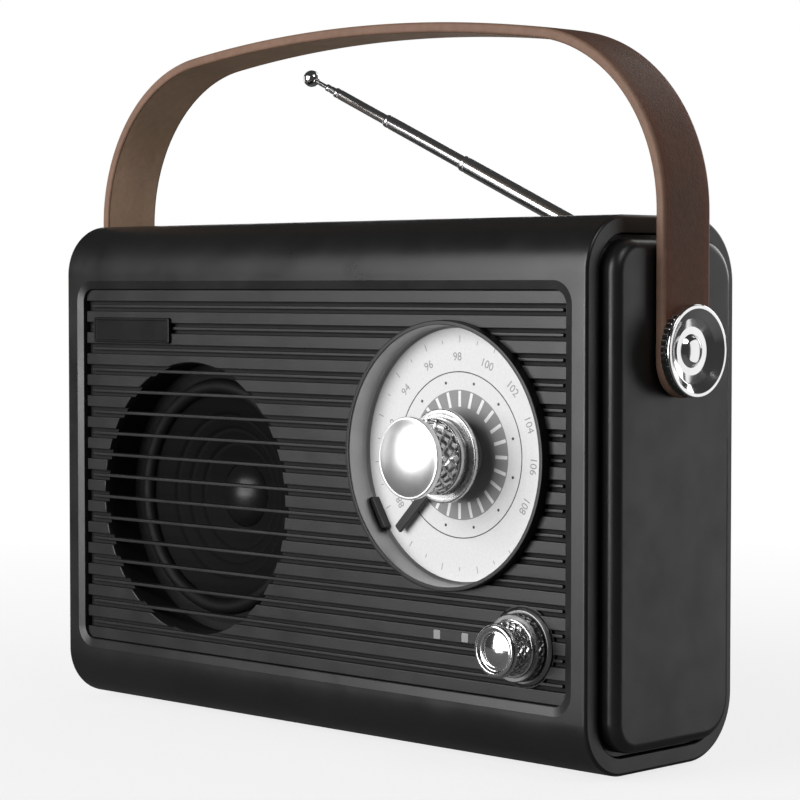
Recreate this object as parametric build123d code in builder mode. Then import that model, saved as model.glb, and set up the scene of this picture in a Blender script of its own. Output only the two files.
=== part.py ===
from build123d import *
import os
from math import asin, atan2, cos, degrees, radians, sin

# Portable radio: a rounded plastic case with a ribbed front, a round dial, two knobs,
# a leather strap handle and a telescopic antenna.
# Millimetres. The front faces -Y and +Z is up.
# The origin is the centre of the base pad's underside.

# ---------------------------------------------------------------- case
body_width = 217.0
body_depth = 63.0
body_height = 150.0
pad_stand = 1.0  # the rubber pad holds the case this far off the table
front_radius = 15.5
back_radius = 18.0
wall = 2.8
end_edge_radius = 1.0

half_width = body_width / 2
front_y = -body_depth / 2
back_y = body_depth / 2
bottom_z = pad_stand
top_z = pad_stand + body_height

# the ends of the case: a ring, a ledge behind it, and a raised cap in the ring
ring_inset = 5.0
ring_depth = 6.0
ledge_inset = 8.0
ledge_depth = 3.0
cap_inset = 6.5
cap_rise = 4.8
cap_edge_radius = 3.5
cap_groove_depth = 1.4
cap_wall = 3.0
fit_gap = 0.1

ring_start = half_width - ring_depth
ledge_start = ring_start - ledge_depth
cap_face_x = half_width + cap_rise

# ---------------------------------------------------------------- front grille
panel_width = 201.6
panel_height = 110.8
panel_centre_z = 75.6
panel_radius = 4.0
bevel_width = 2.6
bevel_depth = 0.6
band_setback = 1.6
field_width = 201.2
bar_width = 197.2
panel_thickness = 3.0
groove_depth = 1.6
groove_height = 3.1
bar_height = 1.0
bar_setback = 0.6
bar_count = 16
bar_pitch = 6.68
frame_wall = 1.6
front_ledge_width = 3.8
front_ledge_depth = 2.0

band_y = front_y + band_setback  # front of the flat bands
panel_back_y = band_y + panel_thickness
field_base_y = band_y + groove_depth
frame_back_y = panel_back_y + front_ledge_depth

# ---------------------------------------------------------------- dial and tuning knob
dial_x = 56.8
dial_z = 85.2
bezel_radius = 37.4
bezel_wall = 0.6
liner_wall = 0.7
bezel_front_y = front_y - 1.1
dial_face_y = front_y + 6.8
dial_thickness = 1.5
end_block_inner = 34.4
end_block_height = 8.5
end_block_drop = 17.6  # its middle is this far below the dial's centre
end_block_rise = 2.4

shaft_radius = 3.0
running_gap = 0.05
bush_radius = 3.8
nut_across_flats = 10.0
nut_thickness = 1.2
pot_radius = 8.5
pot_depth = 9.0

flange_radius = 13.1
flange_front_y = front_y - 1.0
flange_thickness = 1.5
knob_hub_radius = 8.0
barrel_radius = 10.4
barrel_length = 11.0
barrel_flutes = 40
cap_radius = 11.3
cap_band = 2.0
cap_crown = 3.0
pointer_angle = 225.0
pointer_reach = 31.2
pointer_width = 2.8
pointer_thickness = 0.8

# ---------------------------------------------------------------- volume knob
volume_x = 84.7
volume_z = 34.9
volume_base_radius = 10.8
volume_base_thickness = 1.4
volume_skirt_radius = 9.3
volume_skirt_length = 2.9
volume_ring_radius = 8.0
volume_ring_length = 0.7
volume_barrel_radius = 7.3
volume_barrel_length = 5.5
volume_cap_radius = 6.9
volume_cap_length = 1.3
volume_flutes = 32
moving_gap = 0.3

# ---------------------------------------------------------------- lights and badge
light_side = 2.7
light_x = (53.1, 63.7)
light_z = 35.35
badge_size = (36.4, 7.8)
badge_place = (-77.8, 118.3)
badge_thickness = 1.0

# ---------------------------------------------------------------- speaker
speaker_x = -50.2
speaker_z = 67.2
speaker_opening = 41.5
collar_wall = 1.5
collar_depth = 9.4
boss_circle = 45.0
boss_radius = 3.0
basket_inner = 36.5
basket_depth = 19.0
basket_wall = 1.2
magnet_radius = 22.0
magnet_depth = 14.0
cone_radius = 31.5
cone_drop = 9.7
cone_thickness = 0.7
surround_thickness = 0.6
coil_radius = 10.0
dust_cap_crown = 4.5

# ---------------------------------------------------------------- handle
strap_half_span = 117.1
strap_thickness = 3.1
strap_width = 20.2
strap_end_z = 102.0
strap_bend_z = 152.0
strap_top_z = 208.6
strap_bend_radius = 52.0
strap_end_radius = 10.0
pivot_z = 114.65
bolt_shoulder = 4.0
bolt_head_radius = 12.5
bolt_head_depth = 3.4
bolt_flutes = 44
spacer_radius = 9.0
spacer_thickness = 0.5

# ---------------------------------------------------------------- antenna
antenna_x = 95.0
antenna_y = 36.0
antenna_z = 128.6
antenna_rise = 23.7  # degrees above level, leaning to the left
turret_radius = 4.5
turret_shank = 3.0
antenna_nut_thickness = 2.0
ear_gap = 1.75
ear_thickness = 1.5
ear_radius = 3.2
hinge_pin_radius = 0.9
block_radius = 2.7
section_radii = (2.5, 2.05, 1.6, 1.15, 0.7)
section_wall = 0.4
section_ends = (102.2, 138.3, 163.4, 168.0, 174.5)
section_lengths = (93.2, 89.0, 85.0, 81.0, 77.0)
tip_distance = 176.0
tip_radius = 2.7

# ---------------------------------------------------------------- rear cover and battery
cover_width = 168.0
cover_height = 104.0
cover_centre_z = 76.0
cover_radius = 6.0
cover_thickness = 2.8
cover_ledge = 5.0
back_frame_depth = 2.2
door_width = 76.0
door_height = 27.0
door_centre = (36.0, 43.0)
door_thickness = 1.8
door_pin_radius = 0.7
cell_radius = 9.25
cell_length = 65.0
tray_wall = 1.2

cover_inner_y = back_y - cover_thickness
tray_floor_y = cover_inner_y - 20.4

# ---------------------------------------------------------------- screws
screw_radius = 1.3
screw_head_radius = 2.4
screw_head_depth = 1.5
screw_length = 7.0

board_y = 6.0
board_thickness = 1.6
chip_height = 1.6
capacitor_height = 11.0
board_posts = ((6.0, 60.0), (6.0, 122.0), (92.0, 122.0), (92.0, 60.0))
post_radius = 3.0

rod_z = 139.0
rod_radius = 5.0
rod_start = -60.0
rod_length = 100.0

pad_size = (170.0, 27.0)
pad_thickness = 2.0


os.makedirs("parts", exist_ok=True)


def facing_front(y):
    """Plane at depth y whose normal points out of the front."""
    return Plane.XZ.offset(-y)


def save(piece, name):
    """Label a finished piece and write it as one STEP file."""
    piece.part.label = name
    export_step(piece.part, f"parts/{name}.step")


def case_outline(x, inset):
    """The case's cross-section at x, moved inwards by inset all round."""
    low_y, high_y = front_y + inset, back_y - inset
    low_z, high_z = bottom_z + inset, top_z - inset
    with BuildSketch(Plane.YZ.offset(x)) as outline:
        with BuildLine():
            Polyline((low_y, low_z), (high_y, low_z), (high_y, high_z), (low_y, high_z), close=True)
        make_face()
        corners = outline.vertices().sort_by(Axis.X)
        fillet(corners[:2], front_radius - inset)
        fillet(outline.vertices().sort_by(Axis.X)[-2:], back_radius - inset)
    return outline.sketch


def rounded_panel(y, width, height, radius, centre_x=0.0, centre_z=panel_centre_z):
    """A rounded rectangle in a plane that faces the front."""
    with BuildSketch(facing_front(y)) as shape:
        with Locations((centre_x, centre_z)):
            RectangleRounded(width, height, radius)
    return shape.sketch


def disc(y, radius, x, z, bore=0.0):
    """A round face, or a ring when it has a bore, in a plane that faces the front."""
    with BuildSketch(facing_front(y)) as shape:
        with Locations((x, z)):
            Circle(radius)
            if bore:
                Circle(bore, mode=Mode.SUBTRACT)
    return shape.sketch


def fluted_disc(plane, x, z, radius, flutes, bore=0.0):
    """A round face with small round flutes cut all round its edge."""
    with BuildSketch(plane) as shape:
        with Locations((x, z)):
            Circle(radius)
            with PolarLocations(radius, flutes):
                Circle(2 * radius / flutes, mode=Mode.SUBTRACT)
            if bore:
                Circle(bore, mode=Mode.SUBTRACT)
    return shape.sketch


def dome(x, z, base_y, radius, height):
    """Half section of a shallow dome that bulges towards the front."""
    ball = (radius**2 + height**2) / (2 * height)
    with BuildSketch(Plane.XY.offset(z)) as profile:
        with BuildLine():
            Line((x, base_y), (x + radius, base_y))
            CenterArc((x, base_y - height + ball), ball, -90, degrees(asin(radius / ball)))
            Line((x, base_y - height), (x, base_y))
        make_face()
    return profile.sketch


# ================================================================ case pieces
with BuildPart() as main_shell:
    extrude(case_outline(-half_width, 0), amount=body_width)
    end_faces = main_shell.faces().filter_by(Axis.X)
    fillet(end_faces.edges(), end_edge_radius)
    extrude(case_outline(-ledge_start, wall), amount=2 * ledge_start, mode=Mode.SUBTRACT)
    extrude(case_outline(-ring_start, ledge_inset), amount=2 * ring_start, mode=Mode.SUBTRACT)
    extrude(case_outline(ring_start, ring_inset), amount=ring_depth, mode=Mode.SUBTRACT)
    extrude(case_outline(-half_width, ring_inset), amount=ring_depth, mode=Mode.SUBTRACT)
    # frame behind the front recess
    extrude(
        rounded_panel(frame_back_y, panel_width + 2 * frame_wall, panel_height + 2 * frame_wall, 5),
        amount=frame_back_y - front_y - wall / 2,
    )
    extrude(
        rounded_panel(panel_back_y, panel_width, panel_height, panel_radius),
        amount=panel_back_y - front_y,
        mode=Mode.SUBTRACT,
    )
    recess_rim = main_shell.faces().filter_by(Axis.Y).sort_by(Axis.Y)[0].inner_wires().edges()
    chamfer(recess_rim, length=bevel_width, length2=bevel_depth)
    extrude(
        rounded_panel(
            frame_back_y,
            panel_width - 2 * front_ledge_width - 1,
            panel_height - 2 * front_ledge_width,
            2,
        ),
        amount=front_ledge_depth,
        mode=Mode.SUBTRACT,
    )
    # frame and window for the rear cover
    extrude(
        rounded_panel(
            back_y - wall / 2, cover_width + 4, cover_height + 4, cover_radius, 0, cover_centre_z
        ),
        amount=back_frame_depth + cover_thickness - wall / 2,
    )
    extrude(
        rounded_panel(
            back_y, cover_width, cover_height, cover_radius, 0, cover_centre_z
        ),
        amount=cover_thickness,
        mode=Mode.SUBTRACT,
    )
    extrude(
        rounded_panel(
            back_y,
            cover_width - 2 * cover_ledge,
            cover_height - 2 * cover_ledge,
            cover_radius - 2,
            0,
            cover_centre_z,
        ),
        amount=3 * cover_thickness,
        mode=Mode.SUBTRACT,
    )
    # two ribs under the top that hold the ferrite rod
    for x in (rod_start + 2, rod_start + rod_length - 5):
        with BuildSketch(Plane.YZ.offset(x)):
            with Locations((0, top_z - wall - 8)):
                Rectangle(16, 17)
            with Locations((0, rod_z)):
                Circle(rod_radius, mode=Mode.SUBTRACT)
        extrude(amount=3)
    # hole for the antenna's shank, seat for the base pad
    extrude(
        disc(back_y, turret_shank + running_gap, antenna_x, antenna_z),
        amount=2 * wall,
        mode=Mode.SUBTRACT,
    )
    with BuildSketch(Plane.XY.offset(bottom_z)):
        RectangleRounded(pad_size[0], pad_size[1], 6)
    extrude(amount=pad_thickness - pad_stand, mode=Mode.SUBTRACT)
    # holes for the screws of the rear cover
    with BuildSketch(facing_front(back_y)):
        with Locations((0, cover_centre_z)):
            with GridLocations(cover_width - cover_ledge, cover_height / 2 - 7, 2, 3):
                Circle(screw_radius)
    extrude(amount=3 * cover_thickness, mode=Mode.SUBTRACT)
save(main_shell, "main_shell")

with BuildPart() as side_cap_right:
    extrude(
        case_outline(ring_start, ring_inset + fit_gap),
        amount=ring_depth - cap_groove_depth,
    )
    extrude(case_outline(ring_start, cap_inset), amount=cap_face_x - ring_start)
    fillet(side_cap_right.faces().sort_by(Axis.X)[-1].edges(), cap_edge_radius)
    extrude(
        case_outline(ring_start, cap_inset + cap_wall),
        amount=cap_face_x - ring_start - cap_wall,
        mode=Mode.SUBTRACT,
    )
    with BuildSketch(Plane.YZ.offset(ring_start)):
        with Locations((0, pivot_z)):
            Circle(spacer_radius)
    extrude(amount=cap_face_x - ring_start - cap_wall / 2)
    with BuildSketch(Plane.YZ.offset(ring_start)):
        with Locations((0, pivot_z)):
            Circle(bolt_shoulder)
    extrude(amount=2 * ring_depth, mode=Mode.SUBTRACT)
save(side_cap_right, "side_cap_right")

with BuildPart() as side_cap_left:
    mirror(side_cap_right.part, about=Plane.YZ)
save(side_cap_left, "side_cap_left")

with BuildPart() as base_pad:
    with BuildSketch():
        RectangleRounded(pad_size[0] - 0.4, pad_size[1] - 0.4, 5.8)
    extrude(amount=pad_thickness)
save(base_pad, "base_pad")

# ================================================================ front grille
first_bar_z = panel_centre_z + bar_pitch * (bar_count - 1) / 2
boss_places = [
    (
        speaker_x + boss_circle * cos(radians(angle)),
        speaker_z + boss_circle * sin(radians(angle)),
    )
    for angle in (45, 135, 225, 315)
]

with BuildPart() as front_grille:
    extrude(
        rounded_panel(panel_back_y, panel_width - 2 * fit_gap, panel_height - 2 * fit_gap, panel_radius),
        amount=panel_back_y - field_base_y,
    )
    extrude(
        rounded_panel(field_base_y, field_width, panel_height - 2 * fit_gap, panel_radius),
        amount=groove_depth,
    )
    with BuildSketch(facing_front(field_base_y)):
        with Locations((0, panel_centre_z)):
            with GridLocations(0, bar_pitch, 1, bar_count):
                Rectangle(panel_width, groove_height)
    extrude(amount=groove_depth, mode=Mode.SUBTRACT)
    extrude(
        disc(panel_back_y, speaker_opening, speaker_x, speaker_z),
        amount=panel_thickness,
        mode=Mode.SUBTRACT,
    )
    # the thin bars run through the grooves and across the speaker opening
    with BuildSketch(facing_front(panel_back_y)):
        with Locations((0, panel_centre_z)):
            with GridLocations(0, bar_pitch, 1, bar_count):
                Rectangle(bar_width, bar_height)
    extrude(amount=panel_thickness - bar_setback)
    extrude(
        disc(panel_back_y + 1, bezel_radius + fit_gap, dial_x, dial_z),
        amount=panel_thickness + 2,
        mode=Mode.SUBTRACT,
    )
    # flat seat and hole for the volume control
    extrude(
        disc(panel_back_y, volume_base_radius + 0.4, volume_x, volume_z),
        amount=panel_thickness - bar_setback,
    )
    extrude(
        disc(band_y + bar_setback, volume_base_radius + 0.2, volume_x, volume_z),
        amount=bar_setback,
        mode=Mode.SUBTRACT,
    )
    extrude(
        disc(panel_back_y, bush_radius + fit_gap, volume_x, volume_z),
        amount=panel_thickness,
        mode=Mode.SUBTRACT,
    )
    with BuildSketch(facing_front(panel_back_y)):
        with Locations(*[(x, light_z) for x in light_x]):
            Rectangle(light_side + 2 * fit_gap, light_side + 2 * fit_gap)
    extrude(amount=panel_thickness, mode=Mode.SUBTRACT)
    # posts for the circuit board
    with BuildSketch(facing_front(board_y)):
        with Locations(*board_posts):
            Circle(post_radius)
            Circle(screw_radius, mode=Mode.SUBTRACT)
    extrude(amount=board_y - panel_back_y)
save(front_grille, "front_grille")

# ring behind the grille that the speaker is screwed to
with BuildPart() as speaker_collar:
    with BuildSketch(facing_front(panel_back_y + collar_depth)):
        with Locations((speaker_x, speaker_z)):
            Circle(speaker_opening + collar_wall)
        with Locations(*boss_places):
            Circle(boss_radius)
            Circle(screw_radius, mode=Mode.SUBTRACT)
        with Locations((speaker_x, speaker_z)):
            Circle(speaker_opening, mode=Mode.SUBTRACT)
    extrude(amount=collar_depth)
save(speaker_collar, "speaker_collar")

with BuildPart() as badge_plate:
    extrude(
        rounded_panel(band_y, badge_size[0], badge_size[1], 0.6, badge_place[0], badge_place[1]),
        amount=badge_thickness,
    )
    chamfer(badge_plate.faces().sort_by(Axis.Y)[0].edges(), 0.3)
save(badge_plate, "badge_plate")

for light_name, place_x in zip(("power_light", "charge_light"), light_x):
    with BuildPart() as light:
        extrude(
            rounded_panel(panel_back_y + 2, light_side, light_side, 0.3, place_x, light_z),
            amount=panel_thickness + 2.2,
        )
    save(light, light_name)

# ================================================================ dial
bezel_back_y = dial_face_y + dial_thickness
liner_outer = bezel_radius - bezel_wall
dial_radius = liner_outer - liner_wall

with BuildPart() as dial_bezel:
    extrude(
        disc(bezel_back_y + 1, bezel_radius, dial_x, dial_z, bore=liner_outer),
        amount=bezel_back_y + 1 - bezel_front_y,
    )
    extrude(
        disc(bezel_back_y + 1, liner_outer + 0.2, dial_x, dial_z, bore=dial_radius - 3),
        amount=1,
    )
    extrude(
        disc(panel_back_y + 1.2, bezel_radius + 2, dial_x, dial_z, bore=bezel_radius - 0.2),
        amount=1.2,
    )
    front_rim = dial_bezel.faces().sort_by(Axis.Y)[0].edges().sort_by(SortBy.LENGTH)[-1]
    fillet(front_rim, 0.25)
save(dial_bezel, "dial_bezel")

with BuildPart() as dial_liner:
    extrude(
        disc(dial_face_y, liner_outer, dial_x, dial_z, bore=dial_radius),
        amount=dial_face_y - bezel_front_y - 0.3,
    )
save(dial_liner, "dial_liner")

with BuildPart() as dial_plate:
    extrude(
        disc(bezel_back_y, liner_outer, dial_x, dial_z, bore=bush_radius + fit_gap),
        amount=dial_thickness,
    )
save(dial_plate, "dial_plate")

with BuildPart() as dial_end_block:
    with BuildSketch(facing_front(dial_face_y)):
        with Locations((dial_x, dial_z)):
            Circle(dial_radius)
            Circle(end_block_inner, mode=Mode.SUBTRACT)
        with Locations((dial_x - dial_radius / 2, dial_z - end_block_drop)):
            Rectangle(dial_radius, end_block_height, mode=Mode.INTERSECT)
    extrude(amount=end_block_rise)
save(dial_end_block, "dial_end_block")

# ================================================================ tuning knob
flange_back_y = flange_front_y + flange_thickness
barrel_front_y = flange_front_y - barrel_length
pointer_y = dial_face_y - nut_thickness - 0.5

with BuildPart() as tuning_knob_flange:
    extrude(
        disc(flange_back_y, flange_radius, dial_x, dial_z, bore=shaft_radius),
        amount=flange_thickness,
    )
    rims = tuning_knob_flange.edges().filter_by(GeomType.CIRCLE).sort_by(SortBy.LENGTH)[-2:]
    fillet(rims, 0.4)
    extrude(
        disc(pointer_y - pointer_thickness, knob_hub_radius, dial_x, dial_z, bore=shaft_radius),
        amount=pointer_y - pointer_thickness - flange_back_y,
    )
save(tuning_knob_flange, "tuning_knob_flange")

with BuildPart() as tuning_knob_barrel:
    extrude(
        fluted_disc(
            facing_front(flange_front_y), dial_x, dial_z, barrel_radius, barrel_flutes, shaft_radius
        ),
        amount=barrel_length,
    )
save(tuning_knob_barrel, "tuning_knob_barrel")

with BuildPart() as tuning_knob_cap:
    extrude(disc(barrel_front_y, cap_radius, dial_x, dial_z), amount=cap_band)
    revolve(
        dome(dial_x, dial_z, barrel_front_y - cap_band, cap_radius - 0.7, cap_crown),
        axis=Axis((dial_x, 0, dial_z), (0, 1, 0)),
    )
    fillet(tuning_knob_cap.edges().sort_by(SortBy.LENGTH)[-2:], 0.5)
save(tuning_knob_cap, "tuning_knob_cap")

with BuildPart() as tuning_shaft:
    extrude(disc(bezel_back_y, shaft_radius, dial_x, dial_z), amount=bezel_back_y - barrel_front_y)
save(tuning_shaft, "tuning_shaft")

with BuildPart() as dial_pointer:
    with BuildSketch(facing_front(pointer_y)):
        with Locations((dial_x, dial_z)):
            Circle(knob_hub_radius)
            with Locations(Location((0, 0), pointer_angle)):
                with Locations((pointer_reach / 2, 0)):
                    Rectangle(pointer_reach, pointer_width)
            Circle(shaft_radius, mode=Mode.SUBTRACT)
    extrude(amount=pointer_thickness)
save(dial_pointer, "dial_pointer")

# ================================================================ volume knob
base_ring_y = band_y + bar_setback
skirt_y = base_ring_y - volume_base_thickness - moving_gap
step_y = skirt_y - volume_skirt_length
volume_barrel_y = step_y - volume_ring_length
volume_cap_y = volume_barrel_y - volume_barrel_length

with BuildPart() as volume_base_ring:
    extrude(
        disc(base_ring_y, volume_base_radius, volume_x, volume_z, bore=nut_across_flats * 0.62),
        amount=volume_base_thickness,
    )
    fillet(volume_base_ring.faces().sort_by(Axis.Y)[0].edges().sort_by(SortBy.LENGTH)[-1], 0.6)
save(volume_base_ring, "volume_base_ring")

with BuildPart() as volume_knob_skirt:
    extrude(
        fluted_disc(
            facing_front(skirt_y), volume_x, volume_z, volume_skirt_radius, volume_flutes, shaft_radius
        ),
        amount=volume_skirt_length,
    )
save(volume_knob_skirt, "volume_knob_skirt")

with BuildPart() as volume_knob_ring:
    extrude(
        disc(step_y, volume_ring_radius, volume_x, volume_z, bore=shaft_radius),
        amount=volume_ring_length,
    )
save(volume_knob_ring, "volume_knob_ring")

with BuildPart() as volume_knob_barrel:
    extrude(
        fluted_disc(
            facing_front(volume_barrel_y),
            volume_x,
            volume_z,
            volume_barrel_radius,
            volume_flutes,
            shaft_radius,
        ),
        amount=volume_barrel_length,
    )
save(volume_knob_barrel, "volume_knob_barrel")

with BuildPart() as volume_knob_cap:
    extrude(disc(volume_cap_y, volume_cap_radius, volume_x, volume_z), amount=volume_cap_length)
    cap_front_y = volume_cap_y - volume_cap_length
    extrude(
        disc(cap_front_y + 0.8, volume_cap_radius - 1.2, volume_x, volume_z, bore=4.4),
        amount=0.8,
        mode=Mode.SUBTRACT,
    )
    fillet(volume_knob_cap.edges().sort_by(SortBy.LENGTH)[-2:], 0.3)
save(volume_knob_cap, "volume_knob_cap")

with BuildPart() as volume_shaft:
    extrude(disc(panel_back_y + 2, shaft_radius, volume_x, volume_z), amount=panel_back_y + 2 - volume_cap_y)
save(volume_shaft, "volume_shaft")

# ================================================================ controls behind the front
control_places = {
    "tuning_pot": (dial_x, dial_z, bezel_back_y, dial_face_y),
    "volume_pot": (volume_x, volume_z, panel_back_y, base_ring_y),
}
for pot_name, (x, z, seat_y, nut_y) in control_places.items():
    with BuildPart() as pot:
        extrude(disc(seat_y + pot_depth, pot_radius, x, z), amount=pot_depth)
        extrude(
            disc(seat_y, bush_radius, x, z),
            amount=seat_y - nut_y + nut_thickness,
        )
        extrude(
            disc(seat_y + 2.5, shaft_radius + running_gap, x, z),
            amount=pot_depth + panel_thickness + 4,
            mode=Mode.SUBTRACT,
        )
        with BuildSketch(facing_front(seat_y + pot_depth)):
            with Locations((x, z - pot_radius)):
                Rectangle(11, 6)
        extrude(amount=1.6)
    save(pot, pot_name)

with BuildPart() as control_nuts:
    for x, z, nut_y in ((dial_x, dial_z, dial_face_y), (volume_x, volume_z, base_ring_y)):
        with BuildSketch(facing_front(nut_y)):
            with Locations((x, z)):
                RegularPolygon(nut_across_flats / 2, 6, major_radius=False)
                Circle(bush_radius, mode=Mode.SUBTRACT)
        extrude(amount=nut_thickness)
save(control_nuts, "control_nuts")

# ================================================================ speaker
speaker_axis = Axis((speaker_x, 0, speaker_z), (0, 1, 0))
basket_front_y = panel_back_y + collar_depth
basket_back_y = basket_front_y + basket_depth


def speaker_ring(points):
    """Face of a ring about the speaker's axis, from (radius, depth behind the collar) points."""
    with BuildSketch(Plane.XY.offset(speaker_z)) as profile:
        with BuildLine():
            Polyline(*[(speaker_x + r, basket_front_y + depth) for r, depth in points], close=True)
        make_face()
    return profile.sketch


with BuildPart() as speaker_basket:
    flange_outer = speaker_opening + collar_wall
    revolve(
        speaker_ring(
            [
                (flange_outer, 0),
                (flange_outer, basket_wall),
                (basket_inner + 1, basket_wall),
                (magnet_radius, basket_depth),
                (coil_radius + 2, basket_depth),
                (coil_radius + 2, basket_depth - basket_wall),
                (magnet_radius - 1, basket_depth - basket_wall),
                (basket_inner - 0.6, 0),
            ]
        ),
        axis=speaker_axis,
    )
    with BuildSketch(facing_front(basket_front_y + basket_wall)):
        with Locations(*boss_places):
            Circle(boss_radius + 0.4)
        with Locations((speaker_x, speaker_z)):
            Circle(speaker_opening, mode=Mode.SUBTRACT)
        with Locations(*boss_places):
            Circle(screw_radius, mode=Mode.SUBTRACT)
    extrude(amount=basket_wall)
    # four windows in the cone of the basket
    with BuildSketch(facing_front(basket_back_y - 3)):
        with Locations((speaker_x, speaker_z)):
            with PolarLocations(29.5, 4):
                Rectangle(11, 24)
    extrude(amount=basket_depth - 7, mode=Mode.SUBTRACT)
save(speaker_basket, "speaker_basket")

with BuildPart() as speaker_surround:
    roll_centre = (cone_radius + basket_inner) / 2
    roll = (basket_inner - cone_radius) / 2
    with BuildSketch(Plane.XY.offset(speaker_z)):
        with Locations((speaker_x + roll_centre, basket_front_y)):
            Circle(roll)
            Circle(roll - surround_thickness, mode=Mode.SUBTRACT)
        with Locations((speaker_x + roll_centre, basket_front_y - roll)):
            Rectangle(4 * roll, 2 * roll, mode=Mode.INTERSECT)
        with Locations((speaker_x + basket_inner + 1, basket_front_y - surround_thickness / 2)):
            Rectangle(2.6, surround_thickness)
    revolve(axis=speaker_axis)
save(speaker_surround, "speaker_surround")

with BuildPart() as speaker_cone:
    revolve(
        speaker_ring(
            [
                (cone_radius, 0),
                (cone_radius, cone_thickness),
                (coil_radius, cone_drop + cone_thickness),
                (coil_radius, basket_depth - 1),
                (coil_radius - 0.4, basket_depth - 1),
                (coil_radius - 0.4, cone_drop),
                (coil_radius, cone_drop),
            ]
        ),
        axis=speaker_axis,
    )
save(speaker_cone, "speaker_cone")

with BuildPart() as speaker_dust_cap:
    revolve(
        dome(speaker_x, speaker_z, basket_front_y + cone_drop, coil_radius, dust_cap_crown),
        axis=speaker_axis,
    )
save(speaker_dust_cap, "speaker_dust_cap")

with BuildPart() as speaker_magnet:
    extrude(
        disc(basket_back_y + magnet_depth, magnet_radius, speaker_x, speaker_z), amount=magnet_depth
    )
    extrude(disc(basket_back_y, coil_radius - 0.6, speaker_x, speaker_z), amount=5)
    fillet(speaker_magnet.faces().sort_by(Axis.Y)[-1].edges(), 1.0)
save(speaker_magnet, "speaker_magnet")

# ================================================================ handle
bend_x = strap_half_span - strap_bend_radius
rise = strap_top_z - strap_bend_z
top_radius = (bend_x**2 + rise**2 - strap_bend_radius**2) / (2 * (rise - strap_bend_radius))
top_centre_z = strap_top_z - top_radius
join_angle = degrees(atan2(strap_bend_z - top_centre_z, bend_x))


def arch(inset):
    """The area under the strap's outer outline, moved inwards by inset."""
    with BuildSketch(Plane.XZ.offset(-strap_width / 2)) as area:
        with BuildLine():
            side = strap_half_span - inset
            Line((0, strap_end_z), (side, strap_end_z))
            Line((side, strap_end_z), (side, strap_bend_z))
            CenterArc((bend_x, strap_bend_z), strap_bend_radius - inset, 0, join_angle)
            CenterArc((0, top_centre_z), top_radius - inset, join_angle, 90 - join_angle)
            mirror(about=Plane.YZ)
        make_face()
    return area.sketch


with BuildPart() as handle_strap:
    extrude(arch(0), amount=strap_width)
    extrude(arch(strap_thickness), amount=strap_width, mode=Mode.SUBTRACT)
    end_edges = handle_strap.edges().filter_by(Axis.X).group_by(Axis.Z)[0]
    fillet(end_edges, strap_end_radius)
    with BuildSketch(Plane.YZ.offset(-strap_half_span)):
        with Locations((0, pivot_z)):
            Circle(bolt_shoulder + running_gap)
    extrude(amount=2 * strap_half_span, mode=Mode.SUBTRACT)
save(handle_strap, "handle_strap")

head_x = strap_half_span + moving_gap
with BuildPart() as handle_bolt_right:
    extrude(
        fluted_disc(Plane.YZ.offset(head_x), 0, pivot_z, bolt_head_radius, bolt_flutes),
        amount=bolt_head_depth - 0.8,
    )
    with BuildSketch(Plane.YZ.offset(head_x + bolt_head_depth - 0.8)):
        with Locations((0, pivot_z)):
            Circle(bolt_head_radius)
    extrude(amount=0.8)
    # dished face with a low boss in the middle
    dish_axis = Axis((0, 0, pivot_z), (1, 0, 0))
    face_x = head_x + bolt_head_depth
    with BuildSketch(Plane.XY.offset(pivot_z)):
        with BuildLine():
            Polyline(
                (face_x + 1, 0),
                (face_x + 1, bolt_head_radius - 1.2),
                (face_x, bolt_head_radius - 1.2),
                (face_x - 2.4, 4.5),
                (face_x - 1.2, 2.8),
                (face_x - 1.0, 0),
                close=True,
            )
        make_face()
    revolve(axis=dish_axis, mode=Mode.SUBTRACT)
    with BuildSketch(Plane.YZ.offset(ring_start - 6)):
        with Locations((0, pivot_z)):
            Circle(bolt_shoulder)
    extrude(amount=head_x - ring_start + 6)
save(handle_bolt_right, "handle_bolt_right")

with BuildPart() as handle_bolt_left:
    mirror(handle_bolt_right.part, about=Plane.YZ)
save(handle_bolt_left, "handle_bolt_left")

with BuildPart() as handle_spacers:
    for x in (cap_face_x, -cap_face_x - spacer_thickness):
        with BuildSketch(Plane.YZ.offset(x)):
            with Locations((0, pivot_z)):
                Circle(spacer_radius)
                Circle(bolt_shoulder, mode=Mode.SUBTRACT)
        extrude(amount=spacer_thickness)
save(handle_spacers, "handle_spacers")

with BuildPart() as handle_nuts:
    for x in (ring_start - 4.5, -ring_start):
        with BuildSketch(Plane.YZ.offset(x)):
            with Locations((0, pivot_z)):
                RegularPolygon(6.5, 6, major_radius=False)
                Circle(bolt_shoulder, mode=Mode.SUBTRACT)
        extrude(amount=4.5)
save(handle_nuts, "handle_nuts")

# ================================================================ antenna
rise_angle = radians(antenna_rise)
rod_direction = Vector(-cos(rise_angle), 0, sin(rise_angle))
pin_direction = Vector(sin(rise_angle), 0, cos(rise_angle))
pivot = Vector(antenna_x, antenna_y, antenna_z)
rod_plane = Plane(pivot, x_dir=(0, 1, 0), z_dir=rod_direction)
fork_plane = Plane(pivot, x_dir=rod_direction, z_dir=pin_direction)
turret_front = back_y + 0.2
turret_face = turret_front + 1.3
ear_drop = antenna_y - turret_face

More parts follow.
